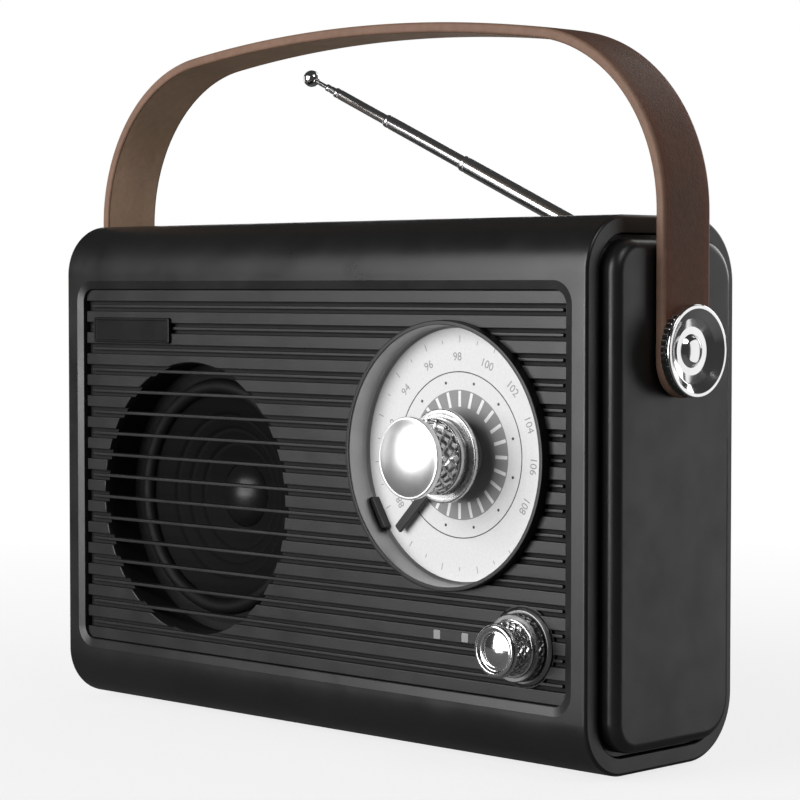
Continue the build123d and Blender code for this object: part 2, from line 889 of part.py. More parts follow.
with BuildPart() as antenna_turret:
    extrude(disc(turret_face, turret_radius, antenna_x, antenna_z), amount=turret_face - turret_front)
    extrude(
        disc(turret_front, turret_shank, antenna_x, antenna_z),
        amount=turret_front - back_y + wall + 2.5,
    )
    for start in (ear_gap, -ear_gap - ear_thickness):
        with BuildSketch(fork_plane.offset(start)):
            Circle(ear_radius)
            with Locations((0, ear_drop / 2)):
                Rectangle(2 * ear_radius, ear_drop)
            Circle(hinge_pin_radius, mode=Mode.SUBTRACT)
        extrude(amount=ear_thickness)
save(antenna_turret, "antenna_turret")

with BuildPart() as antenna_nut:
    with BuildSketch(facing_front(back_y - wall - moving_gap)):
        with Locations((antenna_x, antenna_z)):
            RegularPolygon(3.9, 6, major_radius=False)
            Circle(turret_shank, mode=Mode.SUBTRACT)
    extrude(amount=antenna_nut_thickness)
save(antenna_nut, "antenna_nut")

with BuildPart() as antenna_pin:
    half_pin = ear_gap + ear_thickness + 0.3
    with BuildSketch(fork_plane.offset(-half_pin)):
        Circle(hinge_pin_radius - 0.02)
    extrude(amount=2 * half_pin)
save(antenna_pin, "antenna_pin")

with BuildPart() as antenna_hinge_block:
    block_half = ear_gap - 0.15
    section_start = section_ends[0] - section_lengths[0]
    with BuildSketch(fork_plane.offset(-block_half)):
        Circle(block_radius)
        with Locations((section_start / 2, 0)):
            Rectangle(section_start, 3.6)
        Circle(hinge_pin_radius + 0.03, mode=Mode.SUBTRACT)
    extrude(amount=2 * block_half)
    with BuildSketch(rod_plane.offset(section_start)):
        Circle(section_radii[0] - section_wall - 0.02)
    extrude(amount=4.5)
save(antenna_hinge_block, "antenna_hinge_block")

for number, (radius, end, length) in enumerate(zip(section_radii, section_ends, section_lengths), 1):
    with BuildPart() as antenna_section:
        with BuildSketch(rod_plane.offset(end - length)):
            Circle(radius)
            if radius > 2 * section_wall:
                Circle(radius - section_wall, mode=Mode.SUBTRACT)
        extrude(amount=length)
    save(antenna_section, f"antenna_section_{number}")

with BuildPart() as antenna_tip:
    with BuildSketch(fork_plane):
        with Locations((tip_distance, 0)):
            Circle(tip_radius)
        with Locations((tip_distance, -tip_radius)):
            Rectangle(4 * tip_radius, 2 * tip_radius, mode=Mode.SUBTRACT)
    revolve(axis=Axis(pivot, rod_direction))
    with BuildSketch(rod_plane.offset(tip_distance - 2 * tip_radius)):
        Circle(section_radii[-1])
    extrude(amount=section_ends[-1] - tip_distance + 2 * tip_radius, mode=Mode.SUBTRACT)
save(antenna_tip, "antenna_tip")

# ================================================================ rear cover and battery
door_x, door_z = door_centre
door_low_z = door_z - door_height / 2
hinge_y = back_y - door_thickness / 2
hinge_z = door_low_z + 0.9
socket_places = {"charging_socket": (-52.0, 34.0), "headphone_socket": (-36.0, 34.0)}
socket_posts = ((-61.0, 34.0), (-27.0, 34.0))
socket_depth = 8.0
socket_board_y = back_y - 0.4 - socket_depth
cover_screws = [
    (x, cover_centre_z + z)
    for x in (-(cover_width - cover_ledge) / 2, (cover_width - cover_ledge) / 2)
    for z in (-(cover_height / 2 - 7), 0, cover_height / 2 - 7)
]

with BuildPart() as rear_cover:
    extrude(
        rounded_panel(
            back_y,
            cover_width - 2 * fit_gap,
            cover_height - 2 * fit_gap,
            cover_radius,
            0,
            cover_centre_z,
        ),
        amount=cover_thickness,
    )
    # tray for the battery, open to the back
    extrude(
        rounded_panel(
            cover_inner_y, door_width + 2 * tray_wall - 4, door_height - 1.6, 1.5, door_x, door_z
        ),
        amount=cover_inner_y - tray_floor_y,
    )
    extrude(
        rounded_panel(back_y, door_width - 4, door_height - 4, 1.0, door_x, door_z),
        amount=back_y - tray_floor_y - tray_wall,
        mode=Mode.SUBTRACT,
    )
    # posts for the little board that carries the sockets
    with BuildSketch(facing_front(cover_inner_y)):
        with Locations(*socket_posts):
            Circle(2)
    extrude(amount=cover_inner_y - socket_board_y)
    # seat and hinge holes of the door
    extrude(
        rounded_panel(
            back_y, door_width + 2 * moving_gap, door_height + 2 * moving_gap, 0.3, door_x, door_z
        ),
        amount=door_thickness + moving_gap,
        mode=Mode.SUBTRACT,
    )
    with BuildSketch(Plane.YZ.offset(door_x - door_width / 2 - 2)):
        with Locations((hinge_y, hinge_z)):
            Circle(door_pin_radius + running_gap)
    extrude(amount=door_width + 4, mode=Mode.SUBTRACT)
    # screw holes and sockets
    with BuildSketch(facing_front(back_y)):
        with Locations(*cover_screws):
            Circle(screw_head_radius + 0.1)
    extrude(amount=screw_head_depth, mode=Mode.SUBTRACT)
    with BuildSketch(facing_front(back_y)):
        with Locations(*cover_screws):
            Circle(screw_radius)
        with Locations(socket_places["charging_socket"]):
            RectangleRounded(9.4, 3.6, 1.7)
        with Locations(socket_places["headphone_socket"]):
            Circle(3.1)
    extrude(amount=2 * cover_thickness, mode=Mode.SUBTRACT)
save(rear_cover, "rear_cover")

with BuildPart() as battery_door:
    extrude(
        rounded_panel(back_y, door_width, door_height, 0.2, door_x, door_z), amount=door_thickness
    )
    low_edges = battery_door.edges().filter_by(Axis.X).group_by(Axis.Z)[0]
    fillet(low_edges, 0.85)
    with BuildSketch(Plane.YZ.offset(door_x - door_width / 2 - 1.4)):
        with Locations((hinge_y, hinge_z)):
            Circle(door_pin_radius)
    extrude(amount=door_width + 2.8)
    # thumb notch at the top edge
    with BuildSketch(facing_front(back_y)):
        with Locations((door_x, door_z + door_height / 2 - 2.5)):
            RectangleRounded(16, 3, 1.2)
    extrude(amount=0.8, mode=Mode.SUBTRACT)
save(battery_door, "battery_door")

cell_y = tray_floor_y + tray_wall + cell_radius + 0.2
with BuildPart() as battery_cell:
    with BuildSketch(Plane.YZ.offset(door_x - cell_length / 2)):
        with Locations((cell_y, door_z)):
            Circle(cell_radius)
    extrude(amount=cell_length)
    fillet(battery_cell.edges(), 0.6)
    with BuildSketch(Plane.YZ.offset(door_x + cell_length / 2)):
        with Locations((cell_y, door_z)):
            Circle(3)
    extrude(amount=1.0)
save(battery_cell, "battery_cell")

tray_half = door_width / 2 - 2
with BuildPart() as battery_contacts:
    for x in (door_x - tray_half, door_x + tray_half - 0.5):
        with BuildSketch(Plane.YZ.offset(x)):
            with Locations((cell_y, door_z)):
                Rectangle(12, 12)
        extrude(amount=0.5)
    spring_length = tray_half - 0.5 - cell_length / 2
    with BuildSketch(Plane.YZ.offset(door_x - tray_half + 0.5)):
        with Locations((cell_y, door_z)):
            Circle(4)
            Circle(3.2, mode=Mode.SUBTRACT)
    extrude(amount=spring_length)
save(battery_contacts, "battery_contacts")

charge_x, charge_z = socket_places["charging_socket"]
with BuildPart() as charging_socket:
    with BuildSketch(facing_front(back_y - 0.4)):
        with Locations((charge_x, charge_z)):
            RectangleRounded(9.0, 3.2, 1.5)
    extrude(amount=socket_depth)
    with BuildSketch(facing_front(back_y - 0.4)):
        with Locations((charge_x, charge_z)):
            RectangleRounded(8.3, 2.5, 1.2)
            Rectangle(6.6, 0.7, mode=Mode.SUBTRACT)
    extrude(amount=socket_depth - 1.5, mode=Mode.SUBTRACT)
save(charging_socket, "charging_socket")

jack_x, jack_z = socket_places["headphone_socket"]
with BuildPart() as headphone_socket:
    extrude(
        disc(back_y - 0.3, 3.0, jack_x, jack_z, bore=1.8),
        amount=socket_depth,
    )
save(headphone_socket, "headphone_socket")

with BuildPart() as socket_board:
    extrude(
        rounded_panel(socket_board_y, 38, 16, 1, (charge_x + jack_x) / 2, charge_z),
        amount=board_thickness,
    )
save(socket_board, "socket_board")

# ================================================================ electronics
with BuildPart() as circuit_board:
    extrude(
        rounded_panel(board_y + board_thickness, 94, 102, 2, 49, 75.5), amount=board_thickness
    )
    with BuildSketch(facing_front(board_y + board_thickness)):
        with Locations(*board_posts):
            Circle(screw_radius)
    extrude(amount=board_thickness, mode=Mode.SUBTRACT)
save(circuit_board, "circuit_board")

with BuildPart() as board_parts:
    with BuildSketch(facing_front(board_y)):
        with Locations((28, 96)):
            Rectangle(14, 14)
        with Locations((28, 66)):
            Rectangle(10, 8)
        with Locations((66, 50)):
            Rectangle(12, 8)
    extrude(amount=chip_height)
    with BuildSketch(facing_front(board_y)):
        with Locations((20, 42), (34, 42), (48, 42)):
            Circle(4)
    extrude(amount=capacitor_height)
    capacitor_ends = board_parts.faces().filter_by(Axis.Y).group_by(Axis.Y)[0]
    fillet(capacitor_ends.edges(), 0.6)
save(board_parts, "board_parts")

with BuildPart() as ferrite_rod:
    with BuildSketch(Plane.YZ.offset(rod_start)):
        with Locations((0, rod_z)):
            Circle(rod_radius)
    extrude(amount=rod_length)
save(ferrite_rod, "ferrite_rod")

with BuildPart() as ferrite_coil:
    with BuildSketch(Plane.YZ.offset(rod_start + 15)):
        with Locations((0, rod_z)):
            Circle(rod_radius + 1.2)
            Circle(rod_radius, mode=Mode.SUBTRACT)
    extrude(amount=28)
save(ferrite_coil, "ferrite_coil")


# ================================================================ screws
def screws_to_front(head_y, places, length):
    """Screws whose heads stand behind head_y and whose shanks run towards the front."""
    with BuildPart() as group:
        with BuildSketch(facing_front(head_y + screw_head_depth)):
            with Locations(*places):
                Circle(screw_head_radius)
        extrude(amount=screw_head_depth)
        with BuildSketch(facing_front(head_y)):
            with Locations(*places):
                Circle(screw_radius - running_gap)
        extrude(amount=length)
    return group.part


with BuildPart() as inner_screws:
    add(screws_to_front(basket_front_y + basket_wall, boss_places, screw_length))
    add(screws_to_front(board_y + board_thickness, board_posts, screw_length))
save(inner_screws, "inner_screws")

with BuildPart() as rear_cover_screws:
    with BuildSketch(facing_front(back_y - 0.2)):
        with Locations(*cover_screws):
            Circle(screw_head_radius)
    extrude(amount=screw_head_depth - 0.2)
    with BuildSketch(facing_front(back_y - screw_head_depth)):
        with Locations(*cover_screws):
            Circle(screw_radius - running_gap)
    extrude(amount=screw_length - 2)
    with BuildSketch(facing_front(back_y - 0.2)):
        with Locations(*cover_screws):
            Rectangle(3.0, 0.6)
            Rectangle(0.6, 3.0)
    extrude(amount=0.7, mode=Mode.SUBTRACT)
save(rear_cover_screws, "rear_cover_screws")
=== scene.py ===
import math

import bmesh
import bpy
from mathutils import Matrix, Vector


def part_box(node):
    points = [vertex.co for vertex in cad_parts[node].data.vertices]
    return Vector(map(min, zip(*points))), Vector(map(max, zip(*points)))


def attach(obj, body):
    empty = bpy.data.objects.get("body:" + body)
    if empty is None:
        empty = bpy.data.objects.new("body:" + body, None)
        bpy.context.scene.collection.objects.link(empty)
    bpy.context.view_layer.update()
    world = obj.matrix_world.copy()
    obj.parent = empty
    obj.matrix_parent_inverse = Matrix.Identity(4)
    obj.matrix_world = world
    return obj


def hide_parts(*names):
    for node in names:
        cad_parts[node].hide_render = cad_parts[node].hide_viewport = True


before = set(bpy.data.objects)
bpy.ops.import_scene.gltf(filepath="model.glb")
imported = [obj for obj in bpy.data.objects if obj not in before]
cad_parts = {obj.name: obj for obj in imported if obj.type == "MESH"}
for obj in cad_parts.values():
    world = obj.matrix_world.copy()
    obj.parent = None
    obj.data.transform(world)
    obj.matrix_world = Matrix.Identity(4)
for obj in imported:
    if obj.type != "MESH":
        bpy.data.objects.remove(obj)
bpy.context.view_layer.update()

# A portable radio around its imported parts. Shapes are written in millimetres and become
# metres when a mesh is made. The front faces -Y and +Z is up.
MM = 0.001
TURN = 2 * math.pi


# ---------------------------------------------------------------- shapes
def soft(points, radius=0.3, steps=4, closed=False):
    """Round the corners of a flat outline. A third value in a point is its own radius."""
    outline = []
    for i, point in enumerate(points):
        here = Vector(point[:2])
        wanted = point[2] if len(point) > 2 else radius
        if wanted <= 0 or (not closed and i in (0, len(points) - 1)):
            outline.append(here)
            continue
        before = Vector(points[i - 1][:2]) - here
        after = Vector(points[(i + 1) % len(points)][:2]) - here
        half = before.angle(after) / 2
        if half > math.radians(89):
            outline.append(here)
            continue
        reach = min(wanted / math.tan(half), 0.495 * before.length, 0.495 * after.length)
        size = reach * math.tan(half)
        middle = (before.normalized() + after.normalized()).normalized()
        centre = here + middle * (size / math.sin(half))
        first = here + before.normalized() * reach - centre
        last = here + after.normalized() * reach - centre
        sweep = first.angle(last)
        for k in range(steps + 1):
            t = k / steps
            arm = first * math.sin((1 - t) * sweep) + last * math.sin(t * sweep)
            outline.append(centre + arm / math.sin(sweep))
    return outline


def inset_corners(corners, inset):
    """Move the sides of a convex outline inwards. Corners are (x, z, radius), anticlockwise."""
    moved = []
    for i, (x, z, radius) in enumerate(corners):
        here = Vector((x, z))
        before = here - Vector(corners[i - 1][:2])
        after = Vector(corners[(i + 1) % len(corners)][:2]) - here
        n1 = Vector((-before.y, before.x)).normalized()
        n2 = Vector((-after.y, after.x)).normalized()
        shift = (n1 + n2) * (inset / (1 + n1.dot(n2)))
        moved.append((x + shift.x, z + shift.y, max(radius - inset, 0.02)))
    return moved


def rectangle(x0, x1, z0, z1, radius):
    """Corners of a rectangle, with one radius or four (lower left first, anticlockwise)."""
    radii = radius if isinstance(radius, (tuple, list)) else (radius,) * 4
    places = ((x0, z0), (x1, z0), (x1, z1), (x0, z1))
    return [(x, z, r) for (x, z), r in zip(places, radii)]


class Place:
    """An axis to turn shapes about."""

    def __init__(self, origin, axis, across):
        self.origin = Vector(origin)
        self.axis = Vector(axis).normalized()
        self.u = Vector(across).normalized()
        self.v = self.axis.cross(self.u)

    def at(self, radius, angle, along):
        side = self.u * math.cos(angle) + self.v * math.sin(angle)
        return self.origin + self.axis * along + side * radius


def front_place(x, z):
    """An axis along Y through (x, z), where the distance along it is y itself."""
    return Place((x, 0, z), (0, 1, 0), (1, 0, 0))


class Shape:
    """Points and faces gathered for one mesh."""

    def __init__(self):
        self.points = []
        self.faces = []
        self.slots = []

    def add(self, points, faces, slot=0):
        start = len(self.points)
        self.points.extend(Vector(p) for p in points)
        self.faces.extend(tuple(start + i for i in face) for face in faces)
        self.slots.extend([slot] * len(faces))

    def loft(self, rings, slot=0, loop=False, caps=True):
        count = len(rings[0])
        faces = []
        for i in range(len(rings) if loop else len(rings) - 1):
            a, b = i * count, (i + 1) % len(rings) * count
            faces += [(a + j, a + (j + 1) % count, b + (j + 1) % count, b + j) for j in range(count)]
        if caps and not loop:
            faces.append(tuple(reversed(range(count))))
            faces.append(tuple((len(rings) - 1) * count + j for j in range(count)))
        self.add([p for ring in rings for p in ring], faces, slot)

    def lathe(self, place, profile, steps=96, slot=0, loop=False, radius_at=None):
        """Turn a (radius, along) profile about an axis. radius_at may change each radius."""
        rings = []
        for radius, along in profile:
            ring = []
            for k in range(steps):
                angle = TURN * k / steps
                r = radius_at(radius, along, angle) if radius_at else radius
                ring.append(place.at(r, angle, along))
            rings.append(ring)
        closed = profile[0][0] > 1e-6 or profile[-1][0] > 1e-6
        self.loft(rings, slot, loop, caps=closed and not loop)

    def plate(self, corners, profile, slot=0, steps=5, to_space=None):
        """Stack (depth, inset) outlines of a convex shape. By default it faces the front."""
        to_space = to_space or (lambda a, b, depth: (a, depth, b))
        rings = []
        for depth, inset in profile:
            outline = soft(inset_corners(corners, inset), closed=True, steps=steps)
            rings.append([to_space(p.x, p.y, depth) for p in outline])
        self.loft(rings, slot)


def open_profile(points, radius=0.2, steps=4):
    return [(p.x, p.y) for p in soft(points, radius, steps)]


def closed_profile(points, radius=0.2, steps=3):
    return [(p.x, p.y) for p in soft(points, radius, steps, closed=True)]


def plate(corners, profile, **options):
    shape = Shape()
    shape.plate(corners, profile, **options)
    return shape


def turned(place, profile, steps=96, **options):
    shape = Shape()
    shape.lathe(place, profile, steps, **options)
    return shape


def solid(name, shape, materials=()):
    """An object from a shape, welded, with its faces turned outwards."""
    mesh = bpy.data.meshes.new(name)
    mesh.from_pydata([p * MM for p in shape.points], [], shape.faces)
    mesh.polygons.foreach_set("material_index", shape.slots)
    for material in materials:
        mesh.materials.append(material)
    work = bmesh.new()
    work.from_mesh(mesh)
    bmesh.ops.remove_doubles(work, verts=work.verts, dist=2e-7)
    bmesh.ops.recalc_face_normals(work, faces=work.faces)
    work.to_mesh(mesh)
    work.free()
    thing = bpy.data.objects.new(name, mesh)
    bpy.context.scene.collection.objects.link(thing)
    return thing


def combine(target, other, operation):
    """Join or cut target with other, which is used up."""
    step = target.modifiers.new("step", "BOOLEAN")
    step.operation = operation
    step.solver = "EXACT"
    step.object = other
    view = bpy.context.evaluated_depsgraph_get()
    made = bpy.data.meshes.new_from_object(target.evaluated_get(view))
    target.modifiers.clear()
    target.data = made
    bpy.data.objects.remove(other)


def fuse(target, shape):
    combine(target, solid("addition", shape), "UNION")


def cut(target, shape):
    combine(target, solid("cutter", shape), "DIFFERENCE")


def settle(piece, body, replaces=(), sharp=35):
    """Shade a finished piece and hang it on its body."""
    mesh = piece.data
    mesh.polygons.foreach_set("use_smooth", [True] * len(mesh.polygons))
    mesh.set_sharp_from_angle(angle=math.radians(sharp))
    weights = piece.modifiers.new("even_shading", "WEIGHTED_NORMAL")
    weights.keep_sharp = True
    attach(piece, body)
    if replaces:
        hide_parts(*replaces)
    return piece


def make(name, shape, materials, body, replaces=(), sharp=35):
    materials = materials if isinstance(materials, (tuple, list)) else [materials]
    return settle(solid(name, shape, materials), body, replaces, sharp)


# ---------------------------------------------------------------- materials
class Paint:
    """A material and short ways to add nodes to it."""

    def __init__(self, name, metallic=0.0, specular=0.5):
        self.material = bpy.data.materials.new(name)
        self.material.use_nodes = True
        self.tree = self.material.node_tree
        self.shader = self.tree.nodes["Principled BSDF"]
        self.shader.inputs["Metallic"].default_value = metallic
        self.shader.inputs["Specular IOR Level"].default_value = specular
        self.coords = self.tree.nodes.new("ShaderNodeTexCoord").outputs["Object"]

    def node(self, kind, **values):
        node = self.tree.nodes.new(kind)
        for key, value in values.items():
            setattr(node, key, value)
        return node

    def link(self, source, target):
        self.tree.links.new(source, target)

    def place(self, stretch=(1, 1, 1)):
        node = self.node("ShaderNodeMapping")
        node.inputs["Scale"].default_value = stretch
        self.link(self.coords, node.inputs["Vector"])
        return node.outputs["Vector"]

    def noise(self, size_mm, detail=3.0, rough=0.55, stretch=(1, 1, 1)):
        """Noise whose features are about size_mm across."""
        node = self.node("ShaderNodeTexNoise")
        node.inputs["Scale"].default_value = 1 / (size_mm * MM)
        node.inputs["Detail"].default_value = detail
        node.inputs["Roughness"].default_value = rough
        self.link(self.place(stretch), node.inputs["Vector"])
        return node.outputs["Fac"]

    def cells(self, size_mm, feature="F1"):
        node = self.node("ShaderNodeTexVoronoi", feature=feature)
        node.inputs["Scale"].default_value = 1 / (size_mm * MM)
        self.link(self.place(), node.inputs["Vector"])
        return node.outputs["Distance"]

    def spread(self, value, low, high, from_low=0.3, from_high=0.7):
        node = self.node("ShaderNodeMapRange")
        node.inputs["From Min"].default_value = from_low
        node.inputs["From Max"].default_value = from_high
        node.inputs["To Min"].default_value = low
        node.inputs["To Max"].default_value = high
        self.link(value, node.inputs["Value"])
        return node.outputs["Result"]

    def colours(self, value, stops):
        node = self.node("ShaderNodeValToRGB")
        ramp = node.color_ramp
        while len(ramp.elements) < len(stops):
            ramp.elements.new(0.5)
        for element, (position, colour) in zip(ramp.elements, stops):
            element.position = position
            element.color = (*colour, 1)
        self.link(value, node.inputs["Fac"])
        return node.outputs["Color"]

    def blend(self, amount, first, second):
        node = self.node("ShaderNodeMix", data_type="RGBA")
        if isinstance(amount, float):
            node.inputs[0].default_value = amount
        else:
            self.link(amount, node.inputs[0])
        self.link(first, node.inputs[6])
        self.link(second, node.inputs[7])
        return node.outputs[2]

    def colour(self, value):
        self.link(value, self.shader.inputs["Base Color"])

    def roughness(self, value):
        self.link(value, self.shader.inputs["Roughness"])

    def bump(self, height, depth_mm, strength=1.0, after=None):
        node = self.node("ShaderNodeBump")
        node.inputs["Strength"].default_value = strength
        node.inputs["Distance"].default_value = depth_mm * MM
        self.link(height, node.inputs["Height"])
        if after:
            self.link(after, node.inputs["Normal"])
        self.link(node.outputs["Normal"], self.shader.inputs["Normal"])
        return node.outputs["Normal"]


def grey(level):
    return (level, level, level)


def moulded(name, level, rough, grain_mm=0.35, grain_depth=0.012, tint=(1, 1, 1), specular=0.5):
    """Moulded plastic: fine spark grain, slow changes of tone and gloss, faint paler scuffs."""
    paint = Paint(name, specular=specular)
    slow = paint.noise(38, detail=4)
    base = [level * t for t in tint]
    tones = paint.colours(slow, [(0.3, [0.82 * c for c in base]), (0.72, [1.2 * c for c in base])])
    scuffs = paint.noise(3.0, detail=6, rough=0.7)
    pale, paler = [1.8 * c + 0.003 for c in base], [2.2 * c + 0.004 for c in base]
    worn = paint.colours(scuffs, [(0.0, pale), (1.0, paler)])
    share = paint.spread(scuffs, 0.0, 0.35, 0.58, 0.74)
    paint.colour(paint.blend(share, tones, worn))
    smudges = paint.noise(14, detail=5, rough=0.6)
    paint.roughness(paint.spread(smudges, rough - 0.05, rough + 0.06))
    first = paint.bump(paint.noise(grain_mm, detail=2), grain_depth)
    paint.bump(paint.noise(26, detail=2), 0.03, after=first)
    return paint.material


def metal(name, level, rough, variation=0.04, tint=(1, 1, 1), scratch=0.0015, stretch=(1, 1, 1)):
    """Bright metal with faint marks and uneven polish."""
    paint = Paint(name, metallic=1.0)
    base = [level * t for t in tint]
    slow = paint.noise(9, detail=3)
    paint.colour(paint.colours(slow, [(0.3, [0.92 * c for c in base]), (0.7, base)]))
    marks = paint.noise(5, detail=6, rough=0.7)
    paint.roughness(paint.spread(marks, max(rough - variation, 0.03), rough + variation))
    paint.bump(paint.noise(0.5, detail=4, stretch=stretch), scratch)
    return paint.material


def printed(name, level, rough=0.45, tint=(1, 1, 1)):
    """Ink or paint: a fine uneven film."""
    paint = Paint(name)
    base = [level * t for t in tint]
    film = paint.noise(0.8, detail=3)
    paint.colour(paint.colours(film, [(0.3, [0.93 * c for c in base]), (0.7, base)]))
    paint.roughness(paint.spread(paint.noise(6), rough - 0.05, rough + 0.06))
    paint.bump(paint.noise(0.25), 0.002)
    return paint.material


def hide(name, dark, light, rim, grain_mm=0.9, rough=0.48, wear=0.6):
    """Leather: pebbled grain with fine creases, mottled dye, and colour drawn to the edges."""
    paint = Paint(name, specular=0.14)
    mottled = paint.noise(22, detail=6, rough=0.62)
    fine = paint.noise(2.4, detail=4)
    tones = paint.colours(mottled, [(0.28, dark), (0.74, light)])
    flecks = paint.colours(fine, [(0.35, dark), (0.75, light)])
    body = paint.blend(0.35, tones, flecks)
    across = paint.node("ShaderNodeSeparateXYZ")
    paint.link(paint.coords, across.inputs["Vector"])
    distance = paint.node("ShaderNodeMath", operation="ABSOLUTE")
    paint.link(across.outputs["Y"], distance.inputs[0])
    near_edge = paint.spread(distance.outputs["Value"], 0.0, wear, 0.0055, 0.0101)
    rim_tone = paint.colours(fine, [(0.3, [0.8 * c for c in rim]), (0.7, rim)])
    paint.colour(paint.blend(near_edge, body, rim_tone))
    paint.roughness(paint.spread(mottled, rough - 0.06, rough + 0.08))
    pebbles = paint.cells(grain_mm)
    creases = paint.cells(grain_mm * 2.7, feature="DISTANCE_TO_EDGE")
    first = paint.bump(paint.spread(pebbles, 1.0, 0.0, 0.0, 0.7), 0.032)
    second = paint.bump(paint.spread(creases, 0.0, 1.0, 0.0, 0.12), 0.02, 0.7, first)
    paint.bump(paint.noise(0.2, detail=2), 0.012, 0.6, second)
    return paint.material


def fibres(name, level, rough=0.75):
    """Pressed paper or felt."""
    paint = Paint(name, specular=0.15)
    threads = paint.noise(0.5, detail=5, rough=0.7, stretch=(1, 1, 3))
    paint.colour(paint.colours(threads, [(0.3, grey(level * 0.6)), (0.7, grey(level * 1.5))]))
    paint.roughness(paint.spread(threads, rough - 0.08, rough + 0.08))
    paint.bump(threads, 0.05)
    return paint.material


CASE = moulded("case_plastic", 0.0085, 0.32)
CAP = moulded("cap_plastic", 0.0100, 0.35, grain_mm=0.3)
GRILLE = moulded("grille_plastic", 0.0135, 0.36, grain_mm=0.28, grain_depth=0.008)
# painted shade: the groove material is darker and duller than the grille, so groove floors and the speaker
# collar read as shaded recesses
GROOVE_SHADE = moulded("groove_painted_shade", 0.010, 0.70, grain_mm=0.4, grain_depth=0.03, specular=0.25)
BADGE = moulded("badge_lacquer", 0.006, 0.34, grain_mm=0.6, grain_depth=0.003, specular=0.25)
BEZEL = moulded("bezel_gloss", 0.007, 0.34, grain_mm=0.6, grain_depth=0.002)
POINTER = moulded("pointer_plastic", 0.012, 0.35, grain_depth=0.004)
LINER = metal("liner_silver", 0.40, 0.38, 0.05)
DIAL = printed("dial_white", 0.73, 0.42)
RING_INK = printed("ring_grey", 0.26, 0.5)
LINE_INK = printed("line_ink", 0.035, 0.5)
NUMBER_INK = printed("number_ink", 0.30, 0.5)
TICK_INK = printed("tick_white", 0.85, 0.45)
LENS = moulded("lens_milk", 0.28, 0.22, grain_depth=0.001)
CHROME = metal("chrome", 0.80, 0.10, 0.03)
TUBE = metal("antenna_chrome", 0.85, 0.20, 0.03)
CROWN = metal("crown_metal", 0.88, 0.40, 0.03)
SATIN = metal("satin_metal", 0.66, 0.27, 0.05)
KNURL = metal("knurled_metal", 0.56, 0.24, 0.05)
DARK_KNURL = metal("dark_knurl", 0.26, 0.30, 0.05)
STEEL = metal("plain_steel", 0.52, 0.33, 0.08)
BASKET = moulded("basket_paint", 0.006, 0.55, grain_mm=0.5, grain_depth=0.01, specular=0.25)
BRASS = metal("brass", 0.72, 0.26, 0.06, tint=(1.0, 0.78, 0.42))
COPPER = metal("copper_wire", 0.62, 0.32, 0.05, tint=(1.0, 0.52, 0.3))
LEATHER = hide("leather_outer", (0.105, 0.050, 0.032), (0.185, 0.092, 0.060), (0.235, 0.078, 0.042))
LINING = hide(
    "leather_lining", (0.52, 0.345, 0.230), (0.74, 0.510, 0.360), (0.66, 0.44, 0.30), 0.6, 0.58, 0.4
)
LEATHER_EDGE = hide(
    "leather_edge", (0.175, 0.103, 0.072), (0.26, 0.160, 0.115), (0.26, 0.160, 0.115), 0.4, 0.45, 0.2
)
RUBBER = moulded("soft_rubber", 0.012, 0.62, grain_mm=0.25, grain_depth=0.02, specular=0.35)
SURROUND = moulded("surround_rubber", 0.006, 0.55, grain_depth=0.004, specular=0.16)
PAPER = fibres("cone_paper", 0.0030)
DUST_CAP = moulded("dust_cap", 0.008, 0.36, grain_depth=0.006, specular=0.35)
FERRITE = moulded("ferrite", 0.035, 0.55)
BOARD = moulded("board_lacquer", 0.09, 0.3, tint=(0.35, 1.25, 0.55))
SLEEVE = moulded("cell_sleeve", 0.16, 0.28, tint=(0.35, 0.8, 1.7))

# ---------------------------------------------------------------- places read from the parts
def box_mm(node):
    low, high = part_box(node)
    return low / MM, high / MM


def middle(node):
    low, high = box_mm(node)
    return (low + high) / 2


shell_low, shell_high = box_mm("main_shell")
half_width = shell_high.x
front_y, back_y = shell_low.y, shell_high.y
bottom_z, top_z = shell_low.z, shell_high.z
FRONT_RADIUS, BACK_RADIUS = 15.5, 18.0
WALL = 2.8

dial_mid = middle("dial_plate")
dial_x, dial_z = dial_mid.x, dial_mid.z
dial_face_y = box_mm("dial_plate")[0].y
volume_mid = middle("volume_base_ring")
volume_x, volume_z = volume_mid.x, volume_mid.z
speaker_mid = middle("speaker_magnet")
speaker_x, speaker_z = speaker_mid.x, speaker_mid.z
grille_low, grille_high = box_mm("front_grille")


def case_ring(x, inset, steps=22):
    """The case's cross-section at x, moved inwards all round."""
    f, b = FRONT_RADIUS, BACK_RADIUS
    corners = (
        (front_y + f, bottom_z + f, f, 180), (back_y - b, bottom_z + b, b, 270),
        (back_y - b, top_z - b, b, 0), (front_y + f, top_z - f, f, 90),
    )
    ring = []
    for y, z, radius, start in corners:
        for k in range(steps + 1):
            angle = math.radians(start + 90 * k / steps)
            reach = radius - inset
            ring.append((x, y + reach * math.cos(angle), z + reach * math.sin(angle)))
    return ring


# ---------------------------------------------------------------- case
RING_INSET, RING_DEPTH = 5.0, 6.0
LEDGE_INSET, LEDGE_DEPTH = 8.0, 3.0
panel_mid_z = (grille_low.z + grille_high.z) / 2
PANEL_HALF_WIDTH, PANEL_HALF_HEIGHT, PANEL_RADIUS = 100.8, 55.4, 4.0
BEVEL_WIDTH, BEVEL_DEPTH = 2.6, 0.6
band_y = front_y + 1.6
panel_back_y = band_y + 3.0
OPENING_INSET = 4.3


def panel_corners(grow=0.0):
    return rectangle(
        -PANEL_HALF_WIDTH - grow,
        PANEL_HALF_WIDTH + grow,
        panel_mid_z - PANEL_HALF_HEIGHT - grow,
        panel_mid_z + PANEL_HALF_HEIGHT + grow,
        PANEL_RADIUS + grow,
    )


